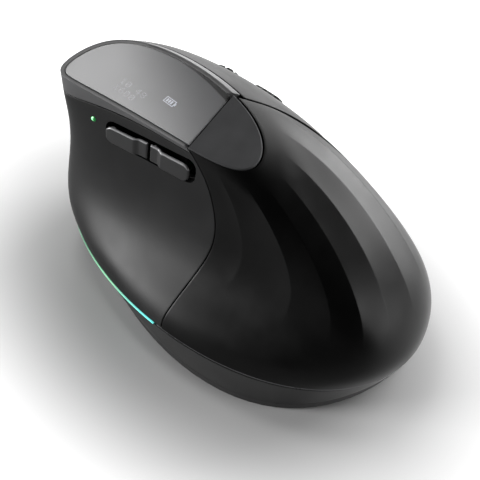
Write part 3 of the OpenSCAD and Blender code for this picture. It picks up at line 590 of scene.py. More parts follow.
class Weave:
    """Small node-tree writer for one material."""

    def __init__(self, name: str) -> None:
        """Starts an empty material.

        Args:
            name: The material's name.
        """
        self.material = bpy.data.materials.new(name)
        self.material.use_nodes = True
        self.tree = self.material.node_tree
        self.shader = self.tree.nodes["Principled BSDF"]
        self.coords = self.tree.nodes.new("ShaderNodeTexCoord")

    def node(self, kind: str, **inputs: object) -> bpy.types.Node:
        """Adds a node.

        Args:
            kind: The node's type.
            **inputs: What its inputs are set or linked to, by name.

        Returns:
            The node.
        """
        node = self.tree.nodes.new("ShaderNode" + kind)
        for key, value in inputs.items():
            self.feed(node, key.replace("_", " "), value)
        return node

    def feed(self, node: bpy.types.Node, key: str, value: object) -> None:
        """Sets or links one input of a node.

        Args:
            node: The node.
            key: The input's name.
            value: A socket to link, or a constant.
        """
        if isinstance(value, bpy.types.NodeSocket):
            self.tree.links.new(value, node.inputs[key])
        else:
            node.inputs[key].default_value = value

    def noise(self, size: float, detail: float = 3.0) -> bpy.types.NodeSocket:
        """Noise with cells of about that many mm.

        Args:
            size: Size of a cell.
            detail: How many finer layers it has.

        Returns:
            The noise's value.
        """
        node = self.node("TexNoise", Vector=self.coords.outputs["Object"],
                         Scale=1 / (size * MM), Detail=detail)
        return node.outputs["Fac"]

    def ranged(self, value: bpy.types.NodeSocket, source: Tuple[float, float],
               target: Tuple[float, float] = (0.0, 1.0),
               course: str = "LINEAR") -> bpy.types.NodeSocket:
        """Maps one range of a value to another.

        Args:
            value: The value.
            source: Range that it is taken from.
            target: Range that it is brought to.
            course: Way that it goes from end to end.

        Returns:
            The mapped value.
        """
        node = self.node("MapRange", Value=value, From_Min=source[0], From_Max=source[1],
                         To_Min=target[0], To_Max=target[1])
        node.interpolation_type = course
        return node.outputs["Result"]

    def between(self, value: bpy.types.NodeSocket, lo: float, hi: float) -> bpy.types.NodeSocket:
        """Maps a noise value to a range."""
        return self.ranged(value, NOISE_SPAN, (lo, hi))

    def mix(self, factor: bpy.types.NodeSocket, a: object, b: object) -> bpy.types.NodeSocket:
        """Mixes two colours, each a socket or a constant.

        Args:
            factor: Share of the second.
            a: First colour.
            b: Second colour.

        Returns:
            The mixed colour.
        """
        node = self.tree.nodes.new("ShaderNodeMix")
        node.data_type = "RGBA"
        for key, value in (("Factor", factor), ("A", a), ("B", b)):
            self.feed(node, key, value)
        return node.outputs["Result"]

    def combine(self, operation: str, a: bpy.types.NodeSocket,
                b: bpy.types.NodeSocket) -> bpy.types.NodeSocket:
        """Puts two values together.

        Args:
            operation: How they are put together.
            a: First value.
            b: Second value.

        Returns:
            The result.
        """
        node = self.node("Math")
        node.operation = operation
        for place, value in enumerate((a, b)):
            self.tree.links.new(value, node.inputs[place])
        return node.outputs["Value"]

    def blend(self, value: bpy.types.NodeSocket, a: Colour, b: Colour) -> bpy.types.NodeSocket:
        """Runs from one colour to another by a value.

        Args:
            value: The value.
            a: Colour where it is low.
            b: Colour where it is high.

        Returns:
            The colour.
        """
        node = self.tree.nodes.new("ShaderNodeValToRGB")
        for stop, place, colour in zip(node.color_ramp.elements, RAMP_SPAN, (a, b)):
            stop.position = place
            stop.color = (*colour, 1)
        self.tree.links.new(value, node.inputs["Fac"])
        return node.outputs["Color"]

    def bump(self, value: bpy.types.NodeSocket, depth: float) -> None:
        """Raises the surface by a value, depth in mm."""
        node = self.node("Bump", Height=value, Strength=1.0, Distance=depth * MM)
        self.tree.links.new(node.outputs["Normal"], self.shader.inputs["Normal"])

    def set(self, **inputs: object) -> None:
        """Sets or links inputs of the shader by name."""
        for key, value in inputs.items():
            self.feed(self.shader, key.replace("_", " "), value)


def shade(colour: Colour, factor: float) -> Colour:
    """A colour made lighter or darker by a factor."""
    return tuple(c * factor for c in colour)


@dataclass(frozen=True)
class Moulded:
    """Moulded plastic or rubber: cloudy tone, grain and uneven sheen."""

    name: str
    colour: Colour
    roughness: float
    grain: Grain
    coat: float = 0.0
    metallic: float = 0.0
    specular: float = 0.5
    cloud: float = 9.0
    tone_swing: float = 0.12
    sheen_swing: float = 0.035
    coat_roughness: float = 0.12

    def make(self) -> bpy.types.Material:
        """Builds the material.

        Returns:
            The material.
        """
        w = Weave(self.name)
        size, depth = self.grain.value
        tone = w.noise(self.cloud, detail=4.0)
        grain = w.noise(size, detail=2.0)
        dark, light = (shade(self.colour, 1 + s * self.tone_swing) for s in (-1, 1))
        low, high = (self.roughness + s * self.sheen_swing for s in (-1, 1))
        w.set(Base_Color=w.blend(tone, dark, light), Roughness=w.between(tone, low, high),
              Metallic=self.metallic, Coat_Weight=self.coat, Coat_Roughness=self.coat_roughness,
              Specular_IOR_Level=self.specular)
        w.bump(grain, depth)
        return w.material


@dataclass(frozen=True)
class Brushed:
    """Turned or brushed metal with fine scratches along one axis."""

    name: str
    colour: Colour
    roughness: float
    stretch: Tuple[float, float, float] = (1.0, 1.0, 12.0)
    fineness: float = 2400.0
    dark: float = 0.85
    swing: Tuple[float, float] = (-0.06, 0.08)
    depth: float = 0.004

    def make(self) -> bpy.types.Material:
        """Builds the material.

        Returns:
            The material.
        """
        w = Weave(self.name)
        turn = w.node("Mapping", Vector=w.coords.outputs["Object"], Scale=self.stretch)
        scratch = w.node("TexNoise", Vector=turn.outputs["Vector"], Scale=self.fineness,
                         Detail=3.0).outputs["Fac"]
        low, high = (self.roughness + s for s in self.swing)
        w.set(Base_Color=w.blend(scratch, shade(self.colour, self.dark), self.colour),
              Roughness=w.between(scratch, low, high), Metallic=1.0)
        w.bump(scratch, self.depth)
        return w.material


@dataclass(frozen=True)
class Laminate:
    """Circuit board: solder mask with faint traces and pads."""

    name: str
    colour: Colour = (0.01, 0.09, 0.04)
    pads: float = 420.0
    bright: float = 1.7
    sheen: Tuple[float, float] = (0.28, 0.45)
    depth: float = 0.02

    def make(self) -> bpy.types.Material:
        """Builds the material.

        Returns:
            The material.
        """
        w = Weave(self.name)
        cells = w.node("TexVoronoi", Vector=w.coords.outputs["Object"],
                       Scale=self.pads).outputs["Distance"]
        w.set(Base_Color=w.blend(cells, shade(self.colour, self.bright), self.colour),
              Roughness=w.between(w.noise(0.8), *self.sheen))
        w.bump(cells, self.depth)
        return w.material


@dataclass(frozen=True)
class Glow:
    """Diffuser that gives light, its colour running along the length of the body, in mm."""

    name: str
    rear: Colour
    front: Colour
    start: float
    end: float
    strength: float
    fade: Tuple[float, float] = (60.0, 61.0)
    dark: float = 0.06
    sheen: Tuple[float, float] = (0.3, 0.42)
    depth: float = 0.006

    def make(self) -> bpy.types.Material:
        """Builds the material.

        Returns:
            The material.
        """
        w = Weave(self.name)
        place = w.node("SeparateXYZ", Vector=w.coords.outputs["Object"]).outputs["Y"]
        dim = w.ranged(place, (self.fade[0] * MM, self.fade[1] * MM),
                       (self.strength, self.strength * self.dark))
        along = w.ranged(place, (self.start * MM, self.end * MM))
        tone = w.blend(along, self.rear, self.front)
        w.set(Base_Color=tone, Emission_Color=tone, Emission_Strength=dim,
              Roughness=w.between(w.noise(0.6), *self.sheen))
        w.bump(w.noise(0.5), self.depth)
        return w.material


@dataclass(frozen=True)
class PrintAndPaintedHighlight:
    """Smooth piece with a second tone where its own mask is set: a printed border on the window,
    a painted highlight on the thumb keys.
    """

    name: str
    clear: Colour
    # Second tone: the window's printed border, and the thumb keys' painted highlight.
    border: Colour
    sheen: Tuple[float, float]
    specular: float
    tone_swing: float = 0.03
    depth: float = 0.002

    def make(self) -> bpy.types.Material:
        """Builds the material.

        Returns:
            The material.
        """
        w = Weave(self.name)
        mask = w.tree.nodes.new("ShaderNodeAttribute")
        mask.attribute_name = MASK
        dark, light = (shade(self.clear, 1 + s * self.tone_swing) for s in (-1, 1))
        clear = w.blend(w.noise(14.0, detail=2.0), dark, light)
        # The second tone goes where the mask is set: print on the window, a painted highlight on
        # the keys.
        w.set(Base_Color=w.mix(mask.outputs["Fac"], clear, (*self.border, 1)),
              Roughness=w.between(w.noise(20.0, detail=2.0), *self.sheen),
              Specular_IOR_Level=self.specular)
        w.bump(w.noise(6.0, detail=1.0), self.depth)
        return w.material


@dataclass(frozen=True)
class ClearLens:
    """Clear moulded plastic of the sensor's lens."""

    name: str
    dull: Colour = (0.75, 0.8, 0.85)
    bright: Colour = (0.85, 0.9, 0.95)
    sheen: Tuple[float, float] = (0.05, 0.12)
    depth: float = 0.002

    def make(self) -> bpy.types.Material:
        """Builds the material.

        Returns:
            The material.
        """
        w = Weave(self.name)
        w.set(Base_Color=w.blend(w.noise(3.0), self.dull, self.bright),
              Roughness=w.between(w.noise(1.5), *self.sheen), Transmission_Weight=0.9, IOR=1.49)
        w.bump(w.noise(1.0), self.depth)
        return w.material


class Finishes:
    """Every finish of the mouse, made once and looked up by name."""

    recipes = (
        Moulded("satin_black", (0.001, 0.001, 0.001), 0.37, Grain.SATIN, specular=0.22),
        Moulded("soft_thumb", (0.002, 0.002, 0.0022), 0.45, Grain.SOFT, specular=0.4),
        Moulded("base_black", (0.018, 0.018, 0.018), 0.42, Grain.MATTE, specular=0.8),
        Moulded("frame_grey", (0.07, 0.07, 0.072), 0.35, Grain.SATIN, specular=0.6),
        Moulded("cap_matte", (0.07, 0.0705, 0.0725), 0.55, Grain.MATTE, specular=0.04),
        Moulded("key_grey", (0.018, 0.018, 0.0185), 0.3, Grain.SATIN, specular=0.7),
        Moulded("pocket_black", (0.004, 0.004, 0.004), 0.6, Grain.MATTE),
        Moulded("strip_gloss", (0.008, 0.008, 0.0085), 0.16, Grain.POLISH, coat=0.6),
        Moulded("trim_grey", (0.16, 0.16, 0.165), 0.3, Grain.SATIN, metallic=0.6),
        Moulded("tyre_rubber", (0.018, 0.018, 0.019), 0.62, Grain.RUBBER),
        Moulded("foot_slick", (0.03, 0.03, 0.031), 0.38, Grain.POLISH),
        Moulded("inner_grey", (0.12, 0.125, 0.13), 0.5, Grain.MATTE),
        Moulded("acetal_white", (0.6, 0.6, 0.57), 0.4, Grain.SATIN),
        Moulded("switch_black", (0.03, 0.03, 0.032), 0.4, Grain.SATIN),
        Moulded("slider_grey", (0.22, 0.22, 0.23), 0.4, Grain.SATIN),
        Moulded("cell_foil", (0.3, 0.31, 0.33), 0.32, Grain.POLISH, metallic=0.7),
        Moulded("cable_amber", (0.22, 0.11, 0.02), 0.35, Grain.POLISH),
        Moulded("panel_dark", (0.02, 0.022, 0.028), 0.25, Grain.POLISH),
        Brushed("steel", (0.62, 0.62, 0.63), 0.3),
        Brushed("hub_metal", (0.32, 0.32, 0.33), 0.34),
        Laminate("board_green"),
        Glow("light_glow", (0.12, 0.6, 0.57), (0.16, 0.42, 0.25), -6.0, 34.0, 0.9, (27.0, 40.0)),
        Glow("lamp_glow", (0.005, 0.1, 0.02), (0.3, 1.0, 0.4), 38.3, 39.3, 1.0),
        Glow("readout_glow", (0.34, 0.37, 0.44), (0.34, 0.34, 0.36), 0.0, 40.0, 0.8),
        PrintAndPaintedHighlight("window_smoke", (0.098, 0.0985, 0.103), (0.002, 0.002, 0.002), (0.15, 0.19), 0.8),
        # The thumb keys' second tone is a painted highlight along their upper edges.
        PrintAndPaintedHighlight("thumb_key_painted_highlight", (0.018, 0.018, 0.0185), (0.34, 0.34, 0.35), (0.28, 0.33), 0.7),
        ClearLens("lens_clear"),
    )

    def __init__(self) -> None:
        """Makes every material."""
        self.made: Dict[str, bpy.types.Material] = {r.name: r.make() for r in self.recipes}

    def __getitem__(self, name: str) -> bpy.types.Material:
        """The material of that name."""
        return self.made[name]


@dataclass
class SideShells:
    """Fixed shells and finger buttons: plain parts of the body with walls and rounded edges."""

    finishes: Finishes
    wall: float = 2.0
    button_wall: float = 1.0
    seam: float = 0.3
    move_gap: float = 0.45
    nose_gap: float = 0.6
    finger_a: float = 330.0
    nose_a: float = 432.0
    thumb_front_a: float = 98.0
    rest_t: float = 0.29
    strip_lo: float = 0.555
    strip_hi: float = 0.685
    palm_top: float = 0.995
    edge: float = 0.22
    edge_angle: float = 60.0
    palm_smooth: float = 46.0

    def shell(self, name: str, panel: Panel, columns: int, rows: int, wall: float,
              fluted: bool = False) -> bpy.types.Object:
        """Builds one shell.

        Args:
            name: Name of the piece.
            panel: Part of the body that it covers.
            columns: Faces round the body.
            rows: Faces up the body.
            wall: Thickness of the wall in mm.
            fluted: Whether the palm's flutes run over it.

        Returns:
            The shell with its wall and edges.
        """
        def skin(u: Array, v: Array) -> Array:
            """Outside of the shell.

            Args:
                u: Shares round the body.
                v: Shares up the body.

            Returns:
                Points in mm.
            """
            a, t = panel.spot(u, v)
            out = GRIP.flute(a, t) if fluted else np.zeros_like(a)
            return GRIP.shift_out(GRIP.section(t), a, out)

        obj = Bench.grid(name, columns, rows, skin)
        Bench.thicken(obj, wall)
        Bench.round_edges(obj, self.edge, angle=self.edge_angle)
        return obj

    def palm(self) -> None:
        """Palm shell with its flutes."""
        lines = Panel(GRIP.thumb_seam, level(self.finger_a), level(0.0), level(self.palm_top),
                      (self.seam / 2, self.move_gap, 0, 0))
        obj = self.shell("palm_shell_skin", lines, columns=380, rows=96, wall=self.wall,
                         fluted=True)
        Bench.smooth(obj, self.palm_smooth)
        Bench.keep(obj, "housing", "shell", ["palm_shell"], self.finishes["satin_black"])

    def fixed(self) -> None:
        """Front shell and the rest for the little finger."""
        half = self.seam / 2
        front = Panel(level(self.nose_a - 360), level(self.thumb_front_a), level(0.0),
                      GRIP.lip_low, (self.nose_gap, half, 0, self.seam))
        side = Panel(level(self.finger_a), level(self.nose_a), level(0.0), level(self.rest_t),
                     (half, half, 0, 0))
        for node, lines, columns, rows in (("front_shell", front, 40, 96),
                                           ("side_shell", side, 150, 30)):
            obj = self.shell(node + "_skin", lines, columns, rows, self.wall)
            Bench.smooth(obj)
            Bench.keep(obj, "housing", "shell", [node], self.finishes["satin_black"])

    def buttons(self) -> None:
        """The two finger buttons."""
        gaps = (self.move_gap, self.nose_gap, self.move_gap, self.move_gap)
        for body, bottom, top in (("left_button", level(self.strip_hi), GRIP.lip_low),
                                  ("right_button", level(self.rest_t), level(self.strip_lo))):
            lines = Panel(level(self.finger_a), level(self.nose_a), bottom, top, gaps)
            obj = self.shell(body + "_skin", lines, columns=150, rows=40, wall=self.button_wall)
            Bench.smooth(obj)
            Bench.keep(obj, body, "shell", [body], self.finishes["satin_black"])

    def build(self) -> None:
        """Builds all the shells."""
        self.palm()
        self.fixed()
        self.buttons()


@dataclass
class SurfaceCap:
    """A key or lamp on the body's outside: an outline in a frame, raised over the surface."""

    name: str
    axes: Axes
    start: Tuple[float, float]
    centre: Tuple[float, float]
    length: float
    width: float
    radii: Tuple[float, float]
    depth: float
    least: float = 0.02
    sharp: float = 50.0

    def half_width(self, x: Array) -> Array:
        """Half the width along the cap, with a corner radius at either end.

        Args:
            x: Places along it.

        Returns:
            Half widths in mm.
        """
        half, side = self.length / 2, self.width / 2
        out = np.full_like(x, side)
        for sign, r in zip((-1, 1), self.radii):
            over = np.clip(sign * x - (half - r), 0, r)
            corner = side - r + np.sqrt(np.maximum(r * r - over * over, 0))
            out = np.where(sign * x > half - r, corner, out)
        return out

    def build(self, out: Skin, columns: int, rows: int, edge: float) -> bpy.types.Object:
        """Builds the cap.

        Args:
            out: Height over the surface at places along and across the cap, in mm.
            columns: Faces along it.
            rows: Faces across it.
            edge: Rounding of its edges in mm.

        Returns:
            The cap with its depth.
        """
        def skin(u: Array, v: Array) -> Array:
            """Outside of the cap.

            Args:
                u: Shares along the cap.
                v: Shares across it.

            Returns:
                Points in mm.
            """
            x = self.length / 2 * np.sin((u - 0.5) * np.pi)
            y = (2 * v - 1) * np.maximum(self.half_width(x), self.least)
            px, py = self.centre[0] + x, self.centre[1] + y
            a, t = GRIP.find(self.axes, px, py, self.start)
            n = (GRIP.at(a, t) - self.axes.origin) @ self.axes.out
            return self.axes.place(n + out(x, y), px, py)

        obj = Bench.grid(self.name, columns, rows, skin)
        Bench.merge(obj)
        Bench.thicken(obj, self.depth)
        Bench.round_edges(obj, edge, segments=4, angle=self.sharp)
        Bench.smooth(obj, self.sharp)
        return obj


@dataclass
class ThumbSide:
    """Concave thumb panel with its pocket, the two thumb keys and the status lamp."""

    finishes: Finishes
    wall: float = 2.0
    seam: float = 0.3
    edge: float = 0.22
    edge_angle: float = 60.0
    front_a: float = 98.0
    key_l: float = 13.8
    key_h: float = 5.8
    key_gap: float = 0.8
    key_out: float = 0.95
    key_depth: float = 1.8
    key_round: float = 0.6
    key_edge: float = 0.1
    key_y: float = 19.9
    key_z: float = 56.1
    key_corners: Tuple[float, float] = (2.4, 0.5)
    key_start: Tuple[float, float] = (180.0, 0.74)
    # Painted highlight on each key's upper edge: the tone lightens where the normals turn up and
    # still face out.
    painted_highlight_up: Tuple[float, float] = (0.35, 0.6)
    painted_highlight_face: Tuple[float, float] = (0.25, 0.5)
    move_gap: float = 0.45
    room: float = 1.2
    pocket_r: float = 3.0
    cut_span: Tuple[float, float] = (10.2, 30.0)
    dip: float = 0.75
    dip_flat: float = 2.6
    dip_slope: float = 1.9
    lamp_y: float = 38.8
    lamp_z: float = 58.2
    lamp_d: float = 1.6
    lamp_start: Tuple[float, float] = (155.5, 0.775)
    lamp_fit: float = 0.1
    lamp_depth: float = 1.6
    lamp_foot: float = 0.05
    lamp_dome: float = 0.3
    lamp_edge: float = 0.1

    def panel(self) -> None:
        """Thumb panel with the pocket for the keys and the lamp's hole."""
        half = self.seam / 2
        lines = Panel(level(self.front_a), GRIP.thumb_seam, level(0.0), GRIP.lip_low,
                      (half, half, 0, self.seam))
        obj = Bench.grid("thumb_panel_skin", columns=190, rows=120,
                         shape=lambda u, v: GRIP.at(*lines.spot(u, v)))
        Bench.thicken(obj, self.wall)
        Bench.round_edges(obj, self.edge, angle=self.edge_angle)
        spare = 2 * self.move_gap + self.room
        place = (-(self.key_y - self.room / 2), self.key_z + self.room / 2)
        pocket = Bench.pill(2 * self.key_l + self.key_gap + spare, self.key_h + spare,
                            self.pocket_r) + place
        wide = self.lamp_d + self.lamp_fit
        hole = Bench.pill(wide, wide, wide / 2 - HOLE_SPARE) + (-self.lamp_y, self.lamp_z)
        for name, outline in (("pocket_cutter", pocket), ("lamp_cutter", hole)):
            Bench.cut(obj, Bench.prism(name, GRIP.thumb_axes(), outline, *self.cut_span))
        Bench.smooth(obj)
        Bench.keep(obj, "housing", "thumb", ["thumb_panel"], self.finishes["soft_thumb"])

    def key(self, name: str, inner: int) -> None:
        """One key, dipped at its inner end, with a painted highlight along its upper edge.

        Args:
            name: Body and node of the key.
            inner: Side of its inner end, 1 to the rear and -1 to the front.
        """
        middle = (-(self.key_y + inner * (self.key_l + self.key_gap) / 2), self.key_z)
        cap = SurfaceCap(name + "_cap", GRIP.thumb_axes(), self.key_start, middle, self.key_l,
                         self.key_h, self.key_corners[::inner], self.key_depth)

        def out(x: Array, y: Array) -> Array:
            """Height of the key: full at its outer part, dipped inwards, round at its edge.

            Args:
                x: Places along the key.
                y: Places across it.

            Returns:
                Heights over the surface in mm.
            """
            to_end = self.key_l / 2 - inner * x
            rise = ease(self.dip_flat, self.dip_flat + self.dip_slope, to_end)
            top = self.key_out - self.dip * (1 - rise)
            near = np.minimum(cap.half_width(x) - np.abs(y), self.key_l / 2 - np.abs(x))
            turn = np.clip(1 - near / self.key_round, 0, 1)
            return top - self.key_round * (1 - np.sqrt(1 - turn ** 2))

        obj = cap.build(out, columns=96, rows=44, edge=self.key_edge)
        # Painted highlight: the mask lightens the key's upper edge, going by its normals.
        turn = np.zeros(len(obj.data.vertices) * 3)
        obj.data.vertex_normals.foreach_get("vector", turn)
        up, face = turn.reshape(-1, 3) @ cap.axes.up, turn.reshape(-1, 3) @ cap.axes.out
        mask = obj.data.attributes.new(MASK, "FLOAT", "POINT")
        mask.data.foreach_set("value", ease(*self.painted_highlight_up, up) * ease(*self.painted_highlight_face, face))
        Bench.keep(obj, name, "key", [name], self.finishes["thumb_key_painted_highlight"])

    def lamp(self) -> None:
        """Small domed lamp ahead of the keys."""
        r = self.lamp_d / 2
        cap = SurfaceCap("status_lamp_dome", GRIP.thumb_axes(), self.lamp_start,
                         (-self.lamp_y, self.lamp_z), self.lamp_d, self.lamp_d,
                         (r - CAP_SPARE, r - CAP_SPARE), self.lamp_depth)

        def out(x: Array, y: Array) -> Array:
            """Height of the dome."""
            return self.lamp_foot + self.lamp_dome * (1 - (x * x + y * y) / (r * r))

        obj = cap.build(out, columns=24, rows=16, edge=self.lamp_edge)
        Bench.keep(obj, "housing", "lamp", ["status_lamp"], self.finishes["lamp_glow"])

    def build(self) -> None:
        """Builds the thumb side."""
        self.panel()
        self.key("forward_key", 1)
        self.key("back_key", -1)
        self.lamp()


@dataclass
class FingerSide:
    """Glossy strip between the finger buttons, with the wheel's slot and the DPI button."""

    finishes: Finishes
    wall: float = 2.0
    seam: float = 0.3
    edge: float = 0.22
    edge_angle: float = 60.0
    finger_a: float = 330.0
    nose_a: float = 432.0
    strip_lo: float = 0.555
    strip_hi: float = 0.685
    slot_l: float = 18.3
    slot_w: float = 7.9
    slot_r: float = 1.6
    cut_span: Tuple[float, float] = (-8.0, 8.0)
    dpi_at: Tuple[float, float] = (357.5, 0.64)
    dpi_l: float = 9.5
    dpi_w: float = 4.4
    dpi_out: float = 0.95
    dpi_depth: float = 2.6
    dpi_crown: float = 0.05
    dpi_edge: float = 0.35
    move_gap: float = 0.45

    def build(self) -> None:
        """Builds the strip and the DPI button."""
        half = self.seam / 2
        axes = GRIP.finger_axes()
        lines = Panel(level(self.finger_a), level(self.nose_a), level(self.strip_lo),
                      level(self.strip_hi), (half, half, 0, 0))
        strip = Bench.grid("centre_strip_skin", columns=160, rows=26,
                           shape=lambda u, v: GRIP.at(*lines.spot(u, v)))
        Bench.thicken(strip, self.wall)
        Bench.round_edges(strip, self.edge, angle=self.edge_angle)
        slot = Bench.pill(self.slot_l, self.slot_w, self.slot_r)
        local = GRIP.at(*(np.array(c) for c in self.dpi_at)) - axes.origin
        centre = (float(local @ axes.across), float(local @ axes.up))
        long, wide = (size + 2 * self.move_gap for size in (self.dpi_l, self.dpi_w))
        hole = Bench.pill(long, wide, wide / 2 - HOLE_SPARE) + centre
        for name, outline in (("slot_cutter", slot), ("dpi_cutter", hole)):
            Bench.cut(strip, Bench.prism(name, axes, outline, *self.cut_span))
        Bench.smooth(strip)
        Bench.keep(strip, "housing", "shell", ["centre_strip"], self.finishes["strip_gloss"])
        r = self.dpi_w / 2 - CAP_SPARE
        cap = SurfaceCap("dpi_button_cap", axes, self.dpi_at, centre, self.dpi_l, self.dpi_w,
                         (r, r), self.dpi_depth)

        def out(x: Array, y: Array) -> Array:
            """Height of the button, crowned along it."""
            return self.dpi_out - self.dpi_crown * (x / self.dpi_l) ** 2

        dpi = cap.build(out, columns=60, rows=22, edge=self.dpi_edge)
        Bench.keep(dpi, "dpi_button", "key", ["dpi_button"], self.finishes["key_grey"])


@dataclass
class TopDeck:
    """Frame, display window with its readout, and rear cap."""

    finishes: Finishes
    lip_w: float = 1.2
    fit: float = 0.12
    frame_wall: float = 2.2
    frame_edge: float = 0.35
    frame_steps: int = 8
    window_h: float = 0.9
    window_up: float = 0.2
    window_mid: Tuple[float, float] = (6.5, -2.0)
    window_edge: float = 0.16
    border_a: Tuple[float, float] = (-32.0, 80.0)
    border_w: Tuple[float, float] = (0.25, 1.7)
    border_run: Tuple[float, float] = (12.0, -22.0)
    border_soft: float = 0.25
    cap_mid: Tuple[float, float] = (6.0, -26.0)
    cap_turn: Tuple[float, float] = (0.8, 0.14)
    cap_fall: Tuple[float, float] = (0.94, 0.06)
    cap_bevel: float = 0.14
    cap_edge: float = 0.15
    cap_round: float = 0.45
    cap_side: float = 0.7
    seam: float = 0.3
    left_a: float = 213.5
    right_a: float = 331.5
    end: float = 1.2

    def divider(self, back: float) -> Tuple[Array, Array]:
        """Plane of the divider.

        Args:
            back: How far it is moved to the rear, in mm.

        Returns:
            A point of the plane and its normal, to the rear.
        """
        axes = GRIP.rim_axes()
        p, q = (GRIP.rim(np.array(a), np.array(0.0)) for a in (self.left_a, self.right_a))
        along = (q - p) / np.linalg.norm(q - p)
        normal = np.cross(along, axes.out)
        normal /= np.linalg.norm(normal)
        return p + back * normal, normal

    def frame(self) -> None:
        """Frame with its lip round the window."""
        a0, a1 = self.right_a - 360 + self.end, self.left_a - self.end
        up = GRIP.rim_axes().out
        steps, rows = self.frame_steps, self.frame_steps + 4

        def skin(u: Array, v: Array) -> Array:
            """Closed loop of the frame's profile at each station.

            Args:
                u: Shares round the rim.
                v: Shares round the profile: side, lip, floor, foot and back to the side.

            Returns:
                Points in mm.
            """
            a = a0 + u * (a1 - a0)
            low = GRIP.lip_low(a)
            row = np.round(v * rows).astype(int)
            t = low + (1 - low) * np.minimum(row, steps) / steps
            lip = GRIP.rim(a, np.full_like(a, self.lip_w))
            floor = lip + (self.window_up - self.window_h) * up
            foot = GRIP.shift_out(GRIP.section(low), a, np.full_like(a, -self.frame_wall))
            out = np.where((row <= steps)[:, None], GRIP.at(a, t), GRIP.at(a, low))
            for place, points in enumerate((lip, floor, foot), steps + 1):
                out = np.where((row == place)[:, None], points, out)
            return out

        obj = Bench.grid("top_frame_ring", columns=260, rows=rows, shape=skin)
        Bench.close(obj)
        Bench.round_edges(obj, self.frame_edge, segments=4, angle=40.0)
        Bench.smooth(obj, 45.0)
        Bench.keep(obj, "housing", "frame", ["top_frame"], self.finishes["frame_grey"])

    def window(self) -> None:
        """Window plate with the printed border's mask."""
        axes = GRIP.rim_axes()
        centre = axes.place(self.window_up, *self.window_mid)
        inset = self.lip_w + self.fit

        def skin(u: Array, v: Array) -> Array:
            """Rings from the centre to the edge."""
            edge = GRIP.rim(-360 * u, np.full_like(u, inset)) + self.window_up * axes.out
            return centre + v[:, None] * (edge - centre)

        obj = Bench.grid("display_window_plate", columns=220, rows=70, shape=skin)
        Bench.merge(obj)
        point, normal = self.divider(-self.seam / 2)
        Bench.slice(obj, point, normal, fill=False)
        Bench.thicken(obj, self.window_h)
        Bench.round_edges(obj, self.window_edge)
        Bench.smooth(obj)
        mask = obj.data.attributes.new(MASK, "FLOAT", "POINT")
        mask.data.foreach_set("value", self.border(Bench.points(obj) / MM - axes.origin, axes))
        Bench.keep(obj, "housing", "window", ["display_window"], self.finishes["window_smoke"])

    def border(self, co: Array, axes: Axes) -> Array:
        """Printed border along the window's right edge, wider to the rear.

        Args:
            co: The window's points, from the rim's origin, in mm.
            axes: Frame of the rim's plane.

        Returns:
            The mask, 1 in the border.
        """
        places = np.linspace(*self.border_a, 300)
        edge = GRIP.rim(places, np.full_like(places, self.lip_w + self.fit)) - axes.origin
        across, along = co @ axes.across, co @ axes.up
        gap = np.min(np.hypot(across[:, None] - edge @ axes.across,
                              along[:, None] - edge @ axes.up), axis=1)
        least, more = self.border_w
        band = least + more * ease(*self.border_run, along) ** 2
        return 1 - ease(0.0, self.border_soft, gap - band)

    def cap(self) -> None:
        """Rear cap: a flat plate with a rounded edge and a short side."""
        axes = GRIP.rim_axes()
        centre = axes.place(self.window_up, *self.cap_mid)
        (flat, bend), (straight, drop) = self.cap_turn, self.cap_fall

        def skin(u: Array, v: Array) -> Array:
            """Flat top, rounded edge and short side.

            Args:
                u: Shares round the rim.
                v: Shares from the centre out and down.

            Returns:
                Points in mm.
            """
            top = np.clip(v / flat, 0, 1)
            turn = np.clip((v - flat) / bend, 0, 1) * np.pi / 2
            fall = np.clip((v - straight) / drop, 0, 1) * self.cap_side
            inset = self.cap_edge + self.cap_round * (1 - np.sin(turn))
            height = self.window_up - self.cap_round * (1 - np.cos(turn)) - fall
            rim = GRIP.rim(360 * u, inset) + height[:, None] * axes.out
            return centre + top[:, None] * (rim - centre)

        obj = Bench.grid("rear_cap_top", columns=200, rows=50, shape=skin)
        Bench.merge(obj)
        point, normal = self.divider(self.seam / 2)
        Bench.slice(obj, point, -normal, fill=True)
        Bench.close(obj)
        Bench.round_edges(obj, self.cap_bevel, segments=2, angle=60.0)
        Bench.smooth(obj)
        Bench.keep(obj, "housing", "cap", ["rear_cap"], self.finishes["cap_matte"])

    def build(self) -> None:
        """Builds the top."""
        self.frame()
        self.window()
        self.cap()


